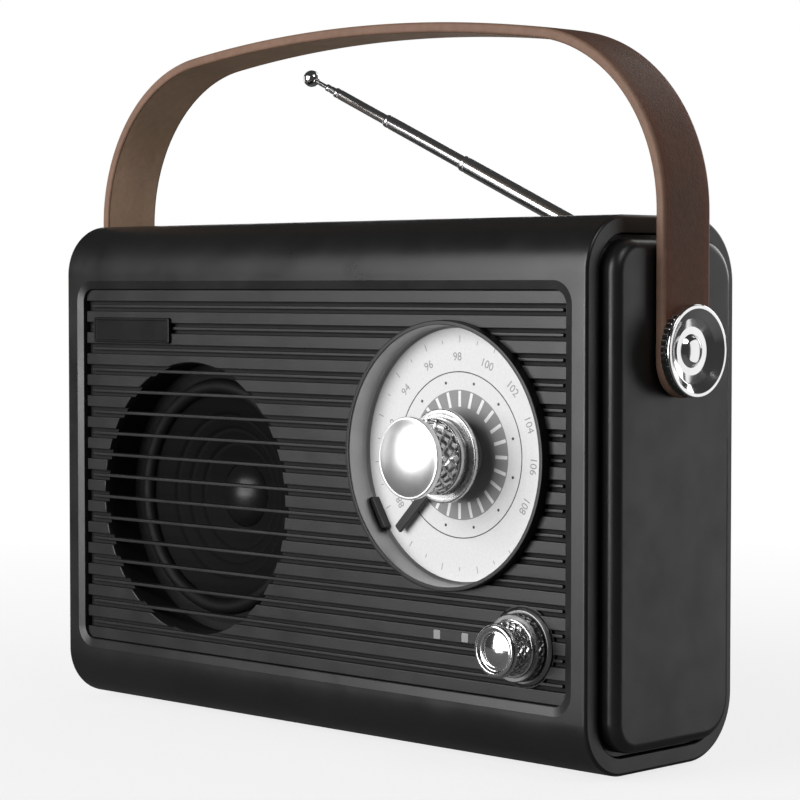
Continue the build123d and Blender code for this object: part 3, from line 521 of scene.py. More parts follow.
ring_x = half_width - RING_DEPTH
ledge_x = ring_x - LEDGE_DEPTH
right_half = [
    (half_width, 0, 1.0), (half_width, RING_INSET, 0.4), (ring_x, RING_INSET, 0.1),
    (ring_x, LEDGE_INSET, 0.1), (ledge_x, LEDGE_INSET, 0.1), (ledge_x, WALL, 0.1),
]
left_half = [(-x, inset, radius) for x, inset, radius in reversed(right_half)]
tube = Shape()
tube.loft([case_ring(p.x, p.y) for p in soft(right_half + left_half, closed=True, steps=6)], loop=True)
shell = solid("case_shell", tube, [CASE])

frame_block = plate(
    [(x, z, 5.0) for x, z, _ in panel_corners(1.6)],
    [(panel_back_y + 2, 0.0), (front_y + 1.2, 0.0)],
)
fuse(shell, frame_block)
cover_low, cover_high = box_mm("rear_cover")
cover_corners = rectangle(-84.0, 84.0, 24.0, 128.0, 6.0)
rear_block = plate(
    [(x * 86 / 84, z + (2 if z > 76 else -2), 8.0) for x, z, _ in cover_corners],
    [(back_y - 1.2, 0.0), (back_y - 5.0, 0.0)],
)
fuse(shell, rear_block)

# the recess: a bevel with softened edges, straight walls, then a ledge and an opening
path = soft(
    [
        (front_y, -8.0), (front_y, -BEVEL_WIDTH, 0.55), (front_y + BEVEL_DEPTH, 0.0, 0.3),
        (panel_back_y, 0.0, 0.15), (panel_back_y, OPENING_INSET, 0.15), (panel_back_y + 6, OPENING_INSET),
    ],
    steps=5,
)
path[0] = Vector((front_y - 3, path[1].y - 0.4))
cut(shell, plate(panel_corners(), [(p.x, p.y) for p in path], steps=10))
path = soft(
    [
        (back_y, -6.0), (back_y, 0.0, 0.35), (back_y - 2.8, 0.0, 0.1),
        (back_y - 2.8, 5.0, 0.1), (back_y - 9, 5.0),
    ],
    steps=4,
)
path[0] = Vector((back_y + 3, path[1].y - 0.3))
cut(shell, plate(cover_corners, [(p.x, p.y) for p in path], steps=8))
settle(shell, "case", ["main_shell"], sharp=32)

cap_high = box_mm("side_cap_right")[1]
CAP_INSET, CAP_GROOVE = 6.5, 1.4
for side, node in ((1, "side_cap_right"), (-1, "side_cap_left")):
    path = soft(
        [
            (ring_x, RING_INSET + 0.12), (half_width - CAP_GROOVE, RING_INSET + 0.12, 0.25),
            (half_width - CAP_GROOVE, CAP_INSET, 0.12), (cap_high.x, CAP_INSET, 3.5), (cap_high.x, 13.0),
        ],
        steps=10,
    )
    cap = Shape()
    cap.loft([case_ring(side * p.x, p.y) for p in path])
    make("end_" + node[5:], cap, CAP, "case", [node], sharp=32)

pad_low, pad_high = box_mm("base_pad")
pad = Shape()
pad_profile = soft([(pad_high.z, 0.0), (0.0, 0.0, 0.5), (0.0, 4.0)], steps=4)
pad.plate(
    rectangle(pad_low.x, pad_high.x, pad_low.y, pad_high.y, 5.8),
    [(p.x, p.y) for p in pad_profile],
    to_space=lambda a, b, depth: (a, b, depth),
    steps=6,
)
foot = solid("foot_pad", pad, [RUBBER])
grooves = Shape()
for k in range(5):
    y = pad_low.y + 4.0 + k * (pad_high.y - pad_low.y - 8.0) / 4
    grooves.plate(
        rectangle(pad_low.x + 6, pad_high.x - 6, y - 0.8, y + 0.8, 0.7),
        [(-1.0, 0.0), (0.6, 0.0)],
        to_space=lambda a, b, depth: (a, b, depth),
    )
cut(foot, grooves)
settle(foot, "case", ["base_pad"])

# ---------------------------------------------------------------- front grille
BAR_COUNT, BAR_PITCH = 16, 6.68
GROOVE_HEIGHT, GROOVE_DEPTH = 3.1, 1.6
BAR_HEIGHT, BAR_SETBACK = 1.0, 0.6
FIELD_HALF_WIDTH, BAR_HALF_WIDTH = 100.6, 98.6
SPEAKER_OPENING = 41.5
EDGE = 0.28
floor_y = band_y + GROOVE_DEPTH
bar_y = band_y + BAR_SETBACK
bar_zs = [panel_mid_z + BAR_PITCH * (k - (BAR_COUNT - 1) / 2) for k in range(BAR_COUNT)]


def edge_profile(back, front, edge, steps=3):
    """A plate's side: straight from the back, then rounded into the front face."""
    points = soft([(back, 0.0), (front, 0.0, edge), (front, 2 * edge + 0.02)], steps=steps)
    return [(p.x, p.y) for p in points[:-1]]


slab = plate(
    rectangle(grille_low.x, grille_high.x, grille_low.z, grille_high.z, 3.9),
    [(panel_back_y, 0.0), (floor_y, 0.0)],
    steps=8,
)
panel = solid("grille_panel", slab, [GRILLE, GROOVE_SHADE])
groove_edges = [z + d for z in bar_zs for d in (-GROOVE_HEIGHT / 2, GROOVE_HEIGHT / 2)]
edges = [grille_low.z] + groove_edges + [grille_high.z]
bands = Shape()
for k in range(BAR_COUNT + 1):
    low, high = edges[2 * k], edges[2 * k + 1]
    lower = 3.8 if k == 0 else 0.3
    upper = 3.8 if k == BAR_COUNT else 0.3
    corners = rectangle(-FIELD_HALF_WIDTH, FIELD_HALF_WIDTH, low, high, (lower, lower, upper, upper))
    bands.plate(corners, edge_profile(floor_y + 0.4, band_y, EDGE))
fuse(panel, bands)


def round_cutter(x, z, radius, near, far, flare=0.0, steps=128):
    """A round cutter from far to near; with a flare it also softens the near edge."""
    cutter = Shape()
    if flare:
        path = soft([(radius, far), (radius, near, flare), (radius + 8, near)], steps=4)
        profile = [(p.x, p.y) for p in path[:-1]]
        profile.append((profile[-1][0] + 0.3, near - 3))
    else:
        profile = [(radius, far), (radius, near - 3)]
    cutter.lathe(front_place(x, z), profile, steps)
    return cutter


cut(panel, round_cutter(speaker_x, speaker_z, SPEAKER_OPENING, band_y, 0.0, 0.35, 144))
cut(panel, round_cutter(volume_x, volume_z, 11.05, band_y, bar_y))
bars = Shape()
for z in bar_zs:
    corners = rectangle(-BAR_HALF_WIDTH, BAR_HALF_WIDTH, z - BAR_HEIGHT / 2, z + BAR_HEIGHT / 2, 0.48)
    bars.plate(corners, edge_profile(panel_back_y - 0.1, bar_y, 0.25))
fuse(panel, bars)
fuse(panel, turned(front_place(volume_x, volume_z), [(11.2, panel_back_y - 0.05), (11.2, bar_y)], 96))
cut(panel, round_cutter(dial_x, dial_z, 37.5, band_y, 0.0))
cut(panel, round_cutter(volume_x, volume_z, 3.9, band_y, 0.0))
for node in ("power_light", "charge_light"):
    low, high = box_mm(node)
    corners = rectangle(low.x - 0.1, high.x + 0.1, low.z - 0.1, high.z + 0.1, 0.35)
    hole = plate(corners, [(0.0, 0.0), (front_y - 3, 0.0)])
    cut(panel, hole)
# painted shade: faces of the groove floors that look to the front take the darker groove material
for face_of in panel.data.polygons:
    painted_shade_face = face_of.center.y > (floor_y - 0.05) * MM and face_of.normal.y < -0.9
    face_of.material_index = 1 if painted_shade_face else 0
settle(panel, "case", ["front_grille"], sharp=32)

for node in ("power_light", "charge_light"):
    low, high = box_mm(node)
    lens = plate(rectangle(low.x, high.x, low.z, high.z, 0.35), edge_profile(high.y, low.y, 0.3))
    make(node + "_lens", lens, LENS, "case", [node])

badge_low, badge_high = box_mm("badge_plate")
corners = rectangle(badge_low.x, badge_high.x, badge_low.z, badge_high.z, 0.7)
path = soft(
    [
        (badge_high.y, 0.0), (badge_low.y, 0.0, 0.3), (badge_low.y, 0.75, 0.1),
        (badge_low.y + 0.3, 0.85, 0.08), (badge_low.y + 0.3, 1.6),
    ],
    steps=3,
)
badge = plate(corners, [(p.x, p.y) for p in path])
make("name_plate_blank", badge, BADGE, "case", ["badge_plate"])

# ---------------------------------------------------------------- dial
dial_axis = front_place(dial_x, dial_z)
bezel_low, bezel_high = box_mm("dial_bezel")
BEZEL_RADIUS, BEZEL_WALL, LINER_WALL = 37.4, 0.6, 0.7
liner_outer = BEZEL_RADIUS - BEZEL_WALL
dial_radius = liner_outer - LINER_WALL


bezel = turned(
    dial_axis,
    closed_profile(
        [
            (BEZEL_RADIUS, bezel_low.y, 0.28), (BEZEL_RADIUS, bezel_high.y, 0.1),
            (liner_outer, bezel_high.y, 0.1), (liner_outer, bezel_low.y + 0.34, 0.02),
            (dial_radius + 0.05, bezel_low.y + 0.34, 0.08), (dial_radius + 0.05, bezel_low.y, 0.25),
        ]
    ),
    160,
    loop=True,
)
make("dial_rim", bezel, BEZEL, "case", ["dial_bezel"], sharp=50)

liner = turned(
    dial_axis,
    closed_profile(
        [
            (liner_outer - 0.02, bezel_low.y + 0.35, 0.1), (dial_radius, bezel_low.y + 0.35, 0.3),
            (dial_radius, dial_face_y - 0.9, 0.6), (dial_radius - 0.9, dial_face_y - 0.02, 0.05),
            (liner_outer - 0.02, dial_face_y - 0.02, 0.1),
        ],
        steps=4,
    ),
    160,
    loop=True,
)
make("dial_wall", liner, LINER, "case", ["dial_liner"], sharp=50)

# the face with its printed marks: each mark is a film a few hundredths of a millimetre proud
FILM = 0.035
face = Shape()
disc_radius, disc_back_y = liner_outer - 0.1, dial_face_y + 1.5
disc = [(0.0, disc_back_y), (disc_radius, disc_back_y), (disc_radius, dial_face_y), (0.0, dial_face_y)]
face.lathe(dial_axis, disc, 160)


def film_ring(inner, outer, slot, level=1):
    back, front = dial_face_y - (level - 1) * FILM + 0.01, dial_face_y - level * FILM
    profile = [(outer, back), (outer, front), (inner, front), (inner, back)]
    face.lathe(dial_axis, profile, 160, slot, loop=True)


def front_point(radius, degrees, y):
    angle = math.radians(degrees)
    return (dial_x + radius * math.cos(angle), y, dial_z + radius * math.sin(angle))


def film_bar(inner, outer, width, degrees, slot, level=1):
    angle = math.radians(degrees)
    along, side = Vector((math.cos(angle), math.sin(angle))), Vector((-math.sin(angle), math.cos(angle)))
    corners = []
    for r, w in ((inner, -width / 2), (outer, -width / 2), (outer, width / 2), (inner, width / 2)):
        point = Vector((dial_x, dial_z)) + along * r + side * w
        corners.append((point.x, point.y, 0.12))
    back, front = dial_face_y - (level - 1) * FILM + 0.01, dial_face_y - level * FILM
    face.plate(corners, [(back, 0.0), (front, 0.0)], slot, steps=3)


TICKS, DOTS = 24, 12
film_ring(22.95, 23.25, 1)
film_ring(8.3, 18.1, 2)
for k in range(TICKS):
    film_bar(13.4, 17.8, 1.0, 360 / TICKS * k, 3, level=2)
for k in range(DOTS):
    x, _, z = front_point(20.5, 15 + 30 * k, 0)
    face.lathe(front_place(x, z), [(0.42, dial_face_y + 0.01), (0.42, dial_face_y - FILM)], 16, 1)
for k in range(-6, 26):
    film_bar(31.2, 32.3 if k % 2 else 33.2, 0.22, 12 * k - 54, 4)
dial_face = solid("dial_face", face, [DIAL, LINE_INK, RING_INK, TICK_INK, NUMBER_INK])

NUMBER_RADIUS, NUMBER_SIZE, NUMBER_STEP = 27.2, 3.3, 24.0
numbers = []
for k, word in enumerate(("88", "90", "92", "94", "96", "98", "100", "102", "104", "106", "108")):
    degrees = 212.0 - NUMBER_STEP * k
    text = bpy.data.curves.new("number_" + word, "FONT")
    text.body = word
    text.size = NUMBER_SIZE * MM
    text.align_x, text.align_y = "CENTER", "CENTER"
    text.extrude = FILM / 2 * MM
    text.resolution_u = 4
    holder = bpy.data.objects.new("number_" + word, text)
    bpy.context.scene.collection.objects.link(holder)
    x, y, z = front_point(NUMBER_RADIUS, degrees, dial_face_y - FILM / 2 + 0.005)
    holder.location = (x * MM, y * MM, z * MM)
    holder.rotation_euler = (math.radians(90), math.radians(90 - degrees), 0)
    numbers.append(holder)
bpy.context.view_layer.update()
gathered = bmesh.new()
gathered.from_mesh(dial_face.data)
view = bpy.context.evaluated_depsgraph_get()
for holder in numbers:
    letters = bpy.data.meshes.new_from_object(holder.evaluated_get(view))
    letters.transform(holder.matrix_world)
    start = len(gathered.faces)
    gathered.from_mesh(letters)
    gathered.faces.ensure_lookup_table()
    for f in gathered.faces[start:]:
        f.material_index = 4
    bpy.data.objects.remove(holder)
bmesh.ops.remove_doubles(gathered, verts=gathered.verts, dist=1e-7)
gathered.to_mesh(dial_face.data)
gathered.free()
settle(dial_face, "case", ["dial_plate"], sharp=30)

block = Shape()
outer, inner = dial_radius - 0.08, 34.4
corners = []
for r, drop in ((outer, -22.0), (inner, -22.0), (inner, -13.4), (outer, -13.4)):
    corners.append((dial_x - math.sqrt(r * r - drop * drop), dial_z + drop, 0.4))
block.plate(corners, edge_profile(dial_face_y, dial_face_y - 2.4, 0.25))
make("dial_stop", block, POINTER, "case", ["dial_end_block"])

# ---------------------------------------------------------------- tuning knob
pointer_low, pointer_high = box_mm("dial_pointer")
angle = math.radians(225)
along, side = Vector((math.cos(angle), math.sin(angle))), Vector((-math.sin(angle), math.cos(angle)))
corners = []
for r, w in ((2.0, -1.7), (31.1, -1.35), (31.1, 1.35), (2.0, 1.7)):
    point = Vector((dial_x, dial_z)) + along * r + side * w
    corners.append((point.x, point.y, 0.5))
arm = plate(corners, edge_profile(pointer_high.y, pointer_low.y, 0.25))
arm_object = solid("pointer_arm", arm, [POINTER])
fuse(arm_object, turned(dial_axis, [(8.0, pointer_high.y), (8.0, pointer_low.y)], 96))
cut(arm_object, round_cutter(dial_x, dial_z, 3.05, -40, 0.0, steps=48))
settle(arm_object, "tuning_knob", ["dial_pointer"])

flange_low, flange_high = box_mm("tuning_knob_flange")
barrel_low, barrel_high = box_mm("tuning_knob_barrel")
cap_low_y = box_mm("tuning_knob_cap")[0].y
FLANGE_RADIUS, HUB_RADIUS, SHAFT_RADIUS = 13.1, 8.0, 3.0
flange_back = flange_low.y + 1.5

skirt = turned(
    dial_axis,
    closed_profile(
        [
            (SHAFT_RADIUS, flange_low.y + 0.02, 0.05), (11.6, flange_low.y + 0.02, 0.05),
            (12.0, flange_low.y, 0.15), (FLANGE_RADIUS, flange_low.y, 0.45),
            (FLANGE_RADIUS, flange_back, 0.45), (HUB_RADIUS, flange_back, 0.1),
            (HUB_RADIUS, flange_high.y, 0.1), (SHAFT_RADIUS, flange_high.y, 0.05),
        ],
        steps=5,
    ),
    128,
    loop=True,
)
make("knob_flange", skirt, SATIN, "tuning_knob", ["tuning_knob_flange"], sharp=40)


def diamond(count, pitch, depth, start, end, ease=0.5):
    """Radius change for a diamond knurl between two places along the axis."""

    def radius_at(radius, along, angle):
        room = min(along - start, end - along)
        if room <= 0:
            return radius
        strength = depth * min(1.0, room / ease)
        first = (count * angle / TURN + along / pitch) % 1.0
        second = (count * angle / TURN - along / pitch) % 1.0
        groove = max(abs(first - 0.5), abs(second - 0.5)) * 2
        return radius - strength * max(0.0, groove - 0.45) / 0.55

    return radius_at


def steps_between(start, end, step):
    count = max(2, round(abs(end - start) / step))
    return [start + (end - start) * k / count for k in range(count + 1)]


BARREL_RADIUS, POLISHED = 10.4, 3.6
grip_end = barrel_high.y - POLISHED
profile = [(SHAFT_RADIUS, barrel_low.y), (BARREL_RADIUS - 0.5, barrel_low.y)]
profile += [(BARREL_RADIUS, y) for y in steps_between(barrel_low.y + 0.3, grip_end, 0.16)]
profile += open_profile(
    [
        (BARREL_RADIUS - 0.5, grip_end + 0.15), (BARREL_RADIUS - 0.5, grip_end + 0.5, 0.15),
        (BARREL_RADIUS + 0.1, grip_end + 0.7, 0.5), (BARREL_RADIUS + 0.3, barrel_high.y - 0.8, 0.5),
        (BARREL_RADIUS - 0.6, barrel_high.y - 0.35, 0.1), (BARREL_RADIUS - 0.6, barrel_high.y),
    ]
)
profile.append((SHAFT_RADIUS, barrel_high.y))
grip = turned(
    dial_axis,
    profile,
    360,
    loop=True,
    radius_at=diamond(18, 4.4, 0.6, barrel_low.y + 0.3, grip_end, 0.5),
)
make("knob_grip", grip, KNURL, "tuning_knob", ["tuning_knob_barrel"], sharp=28)


def dome_points(radius, base, top, steps=14):
    """Points of a shallow dome from its rim to its middle."""
    height = abs(base - top)
    ball = (radius * radius + height * height) / (2 * height)
    reach = math.asin(radius / ball)
    sign = -1 if top < base else 1
    points = []
    for k in range(steps + 1):
        a = reach * (1 - k / steps)
        points.append((ball * math.sin(a), top - sign * (ball - ball * math.cos(a))))
    return points


CAP_RADIUS = 11.3
crown = Shape()
profile = open_profile(
    [
        (0.0, barrel_low.y, 0), (CAP_RADIUS, barrel_low.y, 0.45), (CAP_RADIUS, barrel_low.y - 2.0, 0.45),
        (CAP_RADIUS - 0.6, barrel_low.y - 2.05, 0.1), (CAP_RADIUS - 0.7, barrel_low.y - 2.0, 0),
    ],
    steps=6,
)
profile += dome_points(CAP_RADIUS - 0.75, barrel_low.y - 2.02, cap_low_y)
crown.lathe(dial_axis, profile, 128)
make("knob_crown", crown, CROWN, "tuning_knob", ["tuning_knob_cap"], sharp=30)

# ---------------------------------------------------------------- volume knob
volume_axis = front_place(volume_x, volume_z)
low, high = box_mm("volume_base_ring")
ring = turned(
    volume_axis,
    closed_profile(
        [
            (6.2, high.y, 0.05), (6.2, low.y, 0.1), (9.9, low.y, 0.35),
            (10.8, low.y + 0.7, 0.3), (10.8, high.y, 0.1),
        ],
        steps=4,
    ),
    128,
    loop=True,
)
make("volume_seat", ring, DARK_KNURL, "case", ["volume_base_ring"], sharp=40)

for node, name, radius, count, depth, paint in (
    ("volume_knob_skirt", "volume_grip_wide", 9.3, 24, 0.4, DARK_KNURL),
    ("volume_knob_barrel", "volume_grip", 7.3, 18, 0.42, KNURL),
):
    low, high = box_mm(node)
    profile = [(SHAFT_RADIUS, low.y), (radius - 0.35, low.y)]
    profile += [(radius, y) for y in steps_between(low.y + 0.25, high.y - 0.25, 0.16)]
    profile += [(radius - 0.35, high.y), (SHAFT_RADIUS, high.y)]
    grip = turned(
        volume_axis,
        profile,
        14 * count,
        loop=True,
        radius_at=diamond(count, 2.6, depth, low.y + 0.25, high.y - 0.25, 0.3),
    )
    make(name, grip, paint, "volume_knob", [node], sharp=28)

low, high = box_mm("volume_knob_ring")
band = turned(
    volume_axis,
    closed_profile(
        [(SHAFT_RADIUS, high.y, 0.05), (SHAFT_RADIUS, low.y, 0.05), (8.0, low.y, 0.3), (8.0, high.y, 0.3)],
        steps=5,
    ),
    128,
    loop=True,
)
make("volume_band", band, CHROME, "volume_knob", ["volume_knob_ring"], sharp=40)

low, high = box_mm("volume_knob_cap")
crown = Shape()
profile = open_profile(
    [
        (0.0, high.y, 0), (6.9, high.y, 0.2), (6.9, low.y, 0.4), (5.9, low.y, 0.25),
        (5.6, low.y + 0.9, 0.25), (4.6, low.y + 0.9, 0),
    ],
    steps=4,
)
profile += dome_points(4.5, low.y + 0.85, low.y - 0.0)
crown.lathe(volume_axis, profile, 112)
make("volume_crown", crown, CHROME, "volume_knob", ["volume_knob_cap"], sharp=30)

# ---------------------------------------------------------------- speaker
speaker_axis = front_place(speaker_x, speaker_z)
basket_y = box_mm("speaker_basket")[0].y
cone_low, cone_high = box_mm("speaker_cone")
CONE_RADIUS, COIL_RADIUS, CONE_DROP = 31.5, 10.0, 9.7
profile = []
for k in range(61):
    t = k / 60
    r = CONE_RADIUS + (COIL_RADIUS - CONE_RADIUS) * t
    ripple = 0.35 * math.exp(-((((t * 5.0) % 1.0) - 0.5) / 0.12) ** 2) if 0.15 < t < 0.85 else 0.0
    profile.append((r, basket_y + CONE_DROP * t**0.9 + ripple))
coil_inner = COIL_RADIUS - 0.4
profile += [(COIL_RADIUS, cone_high.y), (coil_inner, cone_high.y), (coil_inner, basket_y + CONE_DROP + 0.9)]
profile += [(r, y + 0.8) for r, y in reversed(profile[:60])]
cone = turned(speaker_axis, profile, 128, loop=True)
make("speaker_paper", cone, PAPER, "case", ["speaker_cone"], sharp=60)

surround_low, surround_high = box_mm("speaker_surround")
ROLL_OUTER, RIM_OUTER = 36.5, 38.8
roll_middle, roll = (CONE_RADIUS + ROLL_OUTER) / 2, (ROLL_OUTER - CONE_RADIUS) / 2
outer_arc, inner_arc = [], []
for k in range(17):
    a = math.pi * k / 16
    outer_arc.append((roll_middle - roll * math.cos(a), basket_y - roll * math.sin(a) * 0.98))
    inner_arc.append((roll_middle - (roll - 0.6) * math.cos(a), basket_y - (roll - 0.6) * math.sin(a)))
profile = outer_arc[:-1] + [(ROLL_OUTER + 0.2, basket_y - 0.6), (RIM_OUTER, basket_y - 0.6)]
profile += [(RIM_OUTER, basket_y), (ROLL_OUTER - 0.4, basket_y)]
profile += list(reversed(inner_arc[:-1]))
roll_shape = turned(speaker_axis, profile, 128, loop=True)
make("speaker_roll", roll_shape, SURROUND, "case", ["speaker_surround"], sharp=50)

cap_low, cap_high_corner = box_mm("speaker_dust_cap")
dust = Shape()
profile = [(0.0, cap_high_corner.y), (COIL_RADIUS - 0.2, cap_high_corner.y)]
profile += dome_points(COIL_RADIUS - 0.2, cap_high_corner.y - 0.02, cap_low.y)[1:]
dust.lathe(speaker_axis, profile, 96)
make("speaker_dome", dust, DUST_CAP, "case", ["speaker_dust_cap"], sharp=50)

# ---------------------------------------------------------------- strap
strap_low, strap_high = box_mm("handle_strap")
bolt_mid = middle("handle_bolt_right")
pivot_z = bolt_mid.z
STRAP_THICKNESS, BEND_RADIUS = 3.1, 52.0
half_span, strap_top = strap_high.x, strap_high.z
half_strap = strap_high.y
bend_z = strap_low.z + 50.0
bend_x = half_span - BEND_RADIUS
rise = strap_top - bend_z
top_radius = (bend_x**2 + rise**2 - BEND_RADIUS**2) / (2 * (rise - BEND_RADIUS))
top_z_centre = strap_top - top_radius
join = math.atan2(bend_z - top_z_centre, bend_x)
leg = bend_z - strap_low.z
bend_length = BEND_RADIUS * join
half_length = leg + bend_length + top_radius * (math.pi / 2 - join)


def strap_point(s, y, depth):
    """A point of the strap: s along its outer face from the right end, y across, depth inwards."""
    side = 1
    if s > half_length:
        s, side = 2 * half_length - s, -1
    if s < leg:
        x, z, nx, nz = half_span, strap_low.z + s, 1.0, 0.0
    elif s < leg + bend_length:
        a = (s - leg) / BEND_RADIUS
        nx, nz = math.cos(a), math.sin(a)
        x, z = bend_x + BEND_RADIUS * nx, bend_z + BEND_RADIUS * nz
    else:
        a = join + (s - leg - bend_length) / top_radius
        nx, nz = math.cos(a), math.sin(a)
        x, z = top_radius * nx, top_z_centre + top_radius * nz
    return Vector((side * (x - nx * depth), y, z - nz * depth))


END_RADIUS = half_strap
OUTER_EDGE, INNER_EDGE = 1.05, 0.8
section = []  # (share of width, inset, depth, part) round the strap's section
ACROSS = 16
for k in range(ACROSS + 1):
    share = -1 + 2 * k / ACROSS
    section.append((share, OUTER_EDGE, 0.12 * share**4, 0))
for k in range(1, 6):
    a = math.pi / 2 * k / 5
    section.append((1, OUTER_EDGE * (1 - math.sin(a)), 0.12 + (OUTER_EDGE - 0.12) * (1 - math.cos(a)), 1))
for k in range(5):
    a = math.pi / 2 * k / 5
    depth = STRAP_THICKNESS - INNER_EDGE * (1 - math.sin(a))
    section.append((1, INNER_EDGE * (1 - math.cos(a)), depth, 1))
for k in range(ACROSS + 1):
    section.append((1 - 2 * k / ACROSS, INNER_EDGE, STRAP_THICKNESS, 2))
for share, inset, depth, part in reversed(section[ACROSS + 1 : ACROSS + 11]):
    section.append((-share, inset, depth, part))
stations = [("end", math.pi / 2 * (1 - k / 14)) for k in range(15)]
stations += [("run", s) for s in steps_between(END_RADIUS, 2 * half_length - END_RADIUS, 2.2)[1:-1]]
stations += [("far", math.pi / 2 * k / 14) for k in range(15)]
rings = []
for kind, value in stations:
    ring = []
    for share, inset, depth, _ in section:
        if kind == "run":
            s, y = value, share * (half_strap - inset)
        else:
            s = END_RADIUS - (END_RADIUS - inset) * math.sin(value)
            y = share * (half_strap - inset) * math.cos(value)
            if kind == "far":
                s = 2 * half_length - s
        ring.append(strap_point(s, y, depth))
    rings.append(ring)
strap = Shape()
count = len(section)
points = [p for ring in rings for p in ring]
for i in range(len(rings) - 1):
    for j in range(count):
        k = (j + 1) % count
        parts = {section[j][3], section[k][3]}
        part = 1 if 1 in parts else parts.pop()
        start = i * count
        strap.faces.append((start + j, start + k, start + count + k, start + count + j))
        strap.slots.append(part)
strap.points = points
hides = [LEATHER, LEATHER_EDGE, LINING]
make("leather_strap", strap, hides, "handle", ["handle_strap"], sharp=60)

# ---------------------------------------------------------------- bolts
BOLT_RADIUS, BOLT_FLUTES, SHANK_RADIUS = 12.5, 44, 4.0
HEAD_DEPTH, RIM_DEPTH, FLUTE_DEPTH = 3.4, 1.1, 0.55

for side, node in ((1, "handle_bolt_right"), (-1, "handle_bolt_left")):
    low, high = box_mm(node)
    face_x = high.x if side > 0 else -low.x
    inner_x = low.x if side > 0 else -high.x
    head_x, flute_end = face_x - HEAD_DEPTH, face_x - RIM_DEPTH

    def fluted(radius, along, angle):
        """Scallops round the head's side, behind its smooth rim."""
        if radius < BOLT_RADIUS - 0.6 or along > flute_end:
            return radius
        return radius - FLUTE_DEPTH * (1 - abs(math.sin(BOLT_FLUTES * angle / 2))) ** 1.2

    profile = [(SHANK_RADIUS, inner_x), (SHANK_RADIUS, head_x), (BOLT_RADIUS - 0.7, head_x)]
    profile += [(BOLT_RADIUS - 0.05, x) for x in steps_between(head_x + 0.4, flute_end - 0.2, 0.6)]
    profile += [(BOLT_RADIUS - 0.7, flute_end), (BOLT_RADIUS - 1.1, flute_end)]
    profile += open_profile(
        [
            (BOLT_RADIUS - 1.1, face_x - 1.0), (BOLT_RADIUS, face_x - 0.9, 0.15),
            (BOLT_RADIUS, face_x, 0.4), (BOLT_RADIUS - 1.1, face_x, 0.3), (9.0, face_x - 1.5, 2.0),
            (6.4, face_x - 2.3, 1.2), (4.5, face_x - 2.4, 0.3), (3.6, face_x - 1.5, 0.4),
        ],
        steps=6,
    )
    profile += dome_points(3.45, face_x - 1.42, face_x - 0.95, 6)
    bolt = turned(Place((0, 0, pivot_z), (side, 0, 0), (0, 1, 0)), profile, BOLT_FLUTES * 6, radius_at=fluted)
    make("bolt_" + node[12:], bolt, CHROME, "case", [node], sharp=30)

# ---------------------------------------------------------------- antenna
pivot = Vector((95.0, 36.0, 128.6))
tip_mid = middle("antenna_tip")
rod = (tip_mid - pivot).normalized()
rod_place = Place(pivot, rod, (0, 1, 0))


def reach_of(node):
    """Where a rod-shaped part starts and ends along the antenna."""
    points = [(v.co / MM - pivot).dot(rod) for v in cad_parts[node].data.vertices]
    return min(points), max(points)


RADII = (2.5, 2.05, 1.6, 1.15, 0.7)
TUBE_WALL = 0.4
owners = ("antenna_base", "antenna_second", "antenna_third", "antenna_fourth", "antenna_fifth")
for number, (radius, owner) in enumerate(zip(RADII, owners), 1):
    node = f"antenna_section_{number}"
    start, end = reach_of(node)
    tube = Shape()
    if number < 5:
        profile = closed_profile(
            [
                (radius - TUBE_WALL, start, 0.05), (radius, start, 0.1), (radius, end - 2.2, 0.3),
                (radius - 0.12, end - 1.9, 0.1), (radius - 0.12, end - 1.3, 0.1),
                (radius, end - 1.0, 0.2), (radius, end, 0.25), (radius - TUBE_WALL, end, 0.05),
            ]
        )
        tube.lathe(rod_place, profile, 48, loop=True)
    else:
        profile = open_profile([(0.0, start, 0), (radius, start, 0.1), (radius, end), (0.0, end, 0)])
        tube.lathe(rod_place, profile, 32)
    make(f"antenna_tube_{number}", tube, TUBE, owner, [node], sharp=40)

TIP_RADIUS = 2.7
tip_at = (tip_mid - pivot).dot(rod)
profile = [(0.0, tip_at - TIP_RADIUS), (1.15, tip_at - TIP_RADIUS), (1.15, tip_at - 2.45)]
for k in range(25):
    a = math.radians(-62 + 152 * k / 24)
    profile.append((TIP_RADIUS * math.cos(a), tip_at + TIP_RADIUS * math.sin(a)))
ball = turned(rod_place, profile, 64)
make("antenna_ball", ball, CHROME, "antenna_fifth", ["antenna_tip"], sharp=50)

# ---------------------------------------------------------------- back
rear_corners = rectangle(-83.9, 83.9, 24.1, 127.9, 5.9)
rear = solid("back_cover", plate(rear_corners, edge_profile(back_y - 2.8, back_y, 0.35), steps=8), [CAP])
door_low, door_high = box_mm("battery_door")
DOOR_SIDE = 1.4


def door_outline(inset, radius):
    return rectangle(
        door_low.x + DOOR_SIDE + inset,
        door_high.x - DOOR_SIDE - inset,
        door_low.z + inset,
        door_high.z - inset,
        radius,
    )


seat = plate(
    door_outline(-0.3, 0.5),
    [(back_y - 2.1, 0.0), (back_y + 2, 0.0)],
)
cut(rear, seat)
hollow = plate(
    door_outline(2, 1.0),
    [(back_y - 5, 0.0), (back_y, 0.0)],
)
cut(rear, hollow)
screw_places = [(x, 76.0 + z) for x in (-81.5, 81.5) for z in (-45.0, 0.0, 45.0)]
for x, z in screw_places:
    sink = turned(front_place(x, z), [(2.5, back_y - 1.5), (2.5, back_y - 0.3), (3.1, back_y + 0.3)], 40)
    cut(rear, sink)
socket_low, socket_high = box_mm("charging_socket")
mouth = plate(
    rectangle(socket_low.x - 0.2, socket_high.x + 0.2, socket_low.z - 0.2, socket_high.z + 0.2, 1.7),
    [(back_y - 6, 0.0), (back_y - 0.35, 0.0), (back_y - 0.1, -0.1), (back_y + 1, -1.0)],
)
cut(rear, mouth)
jack_mid = middle("headphone_socket")
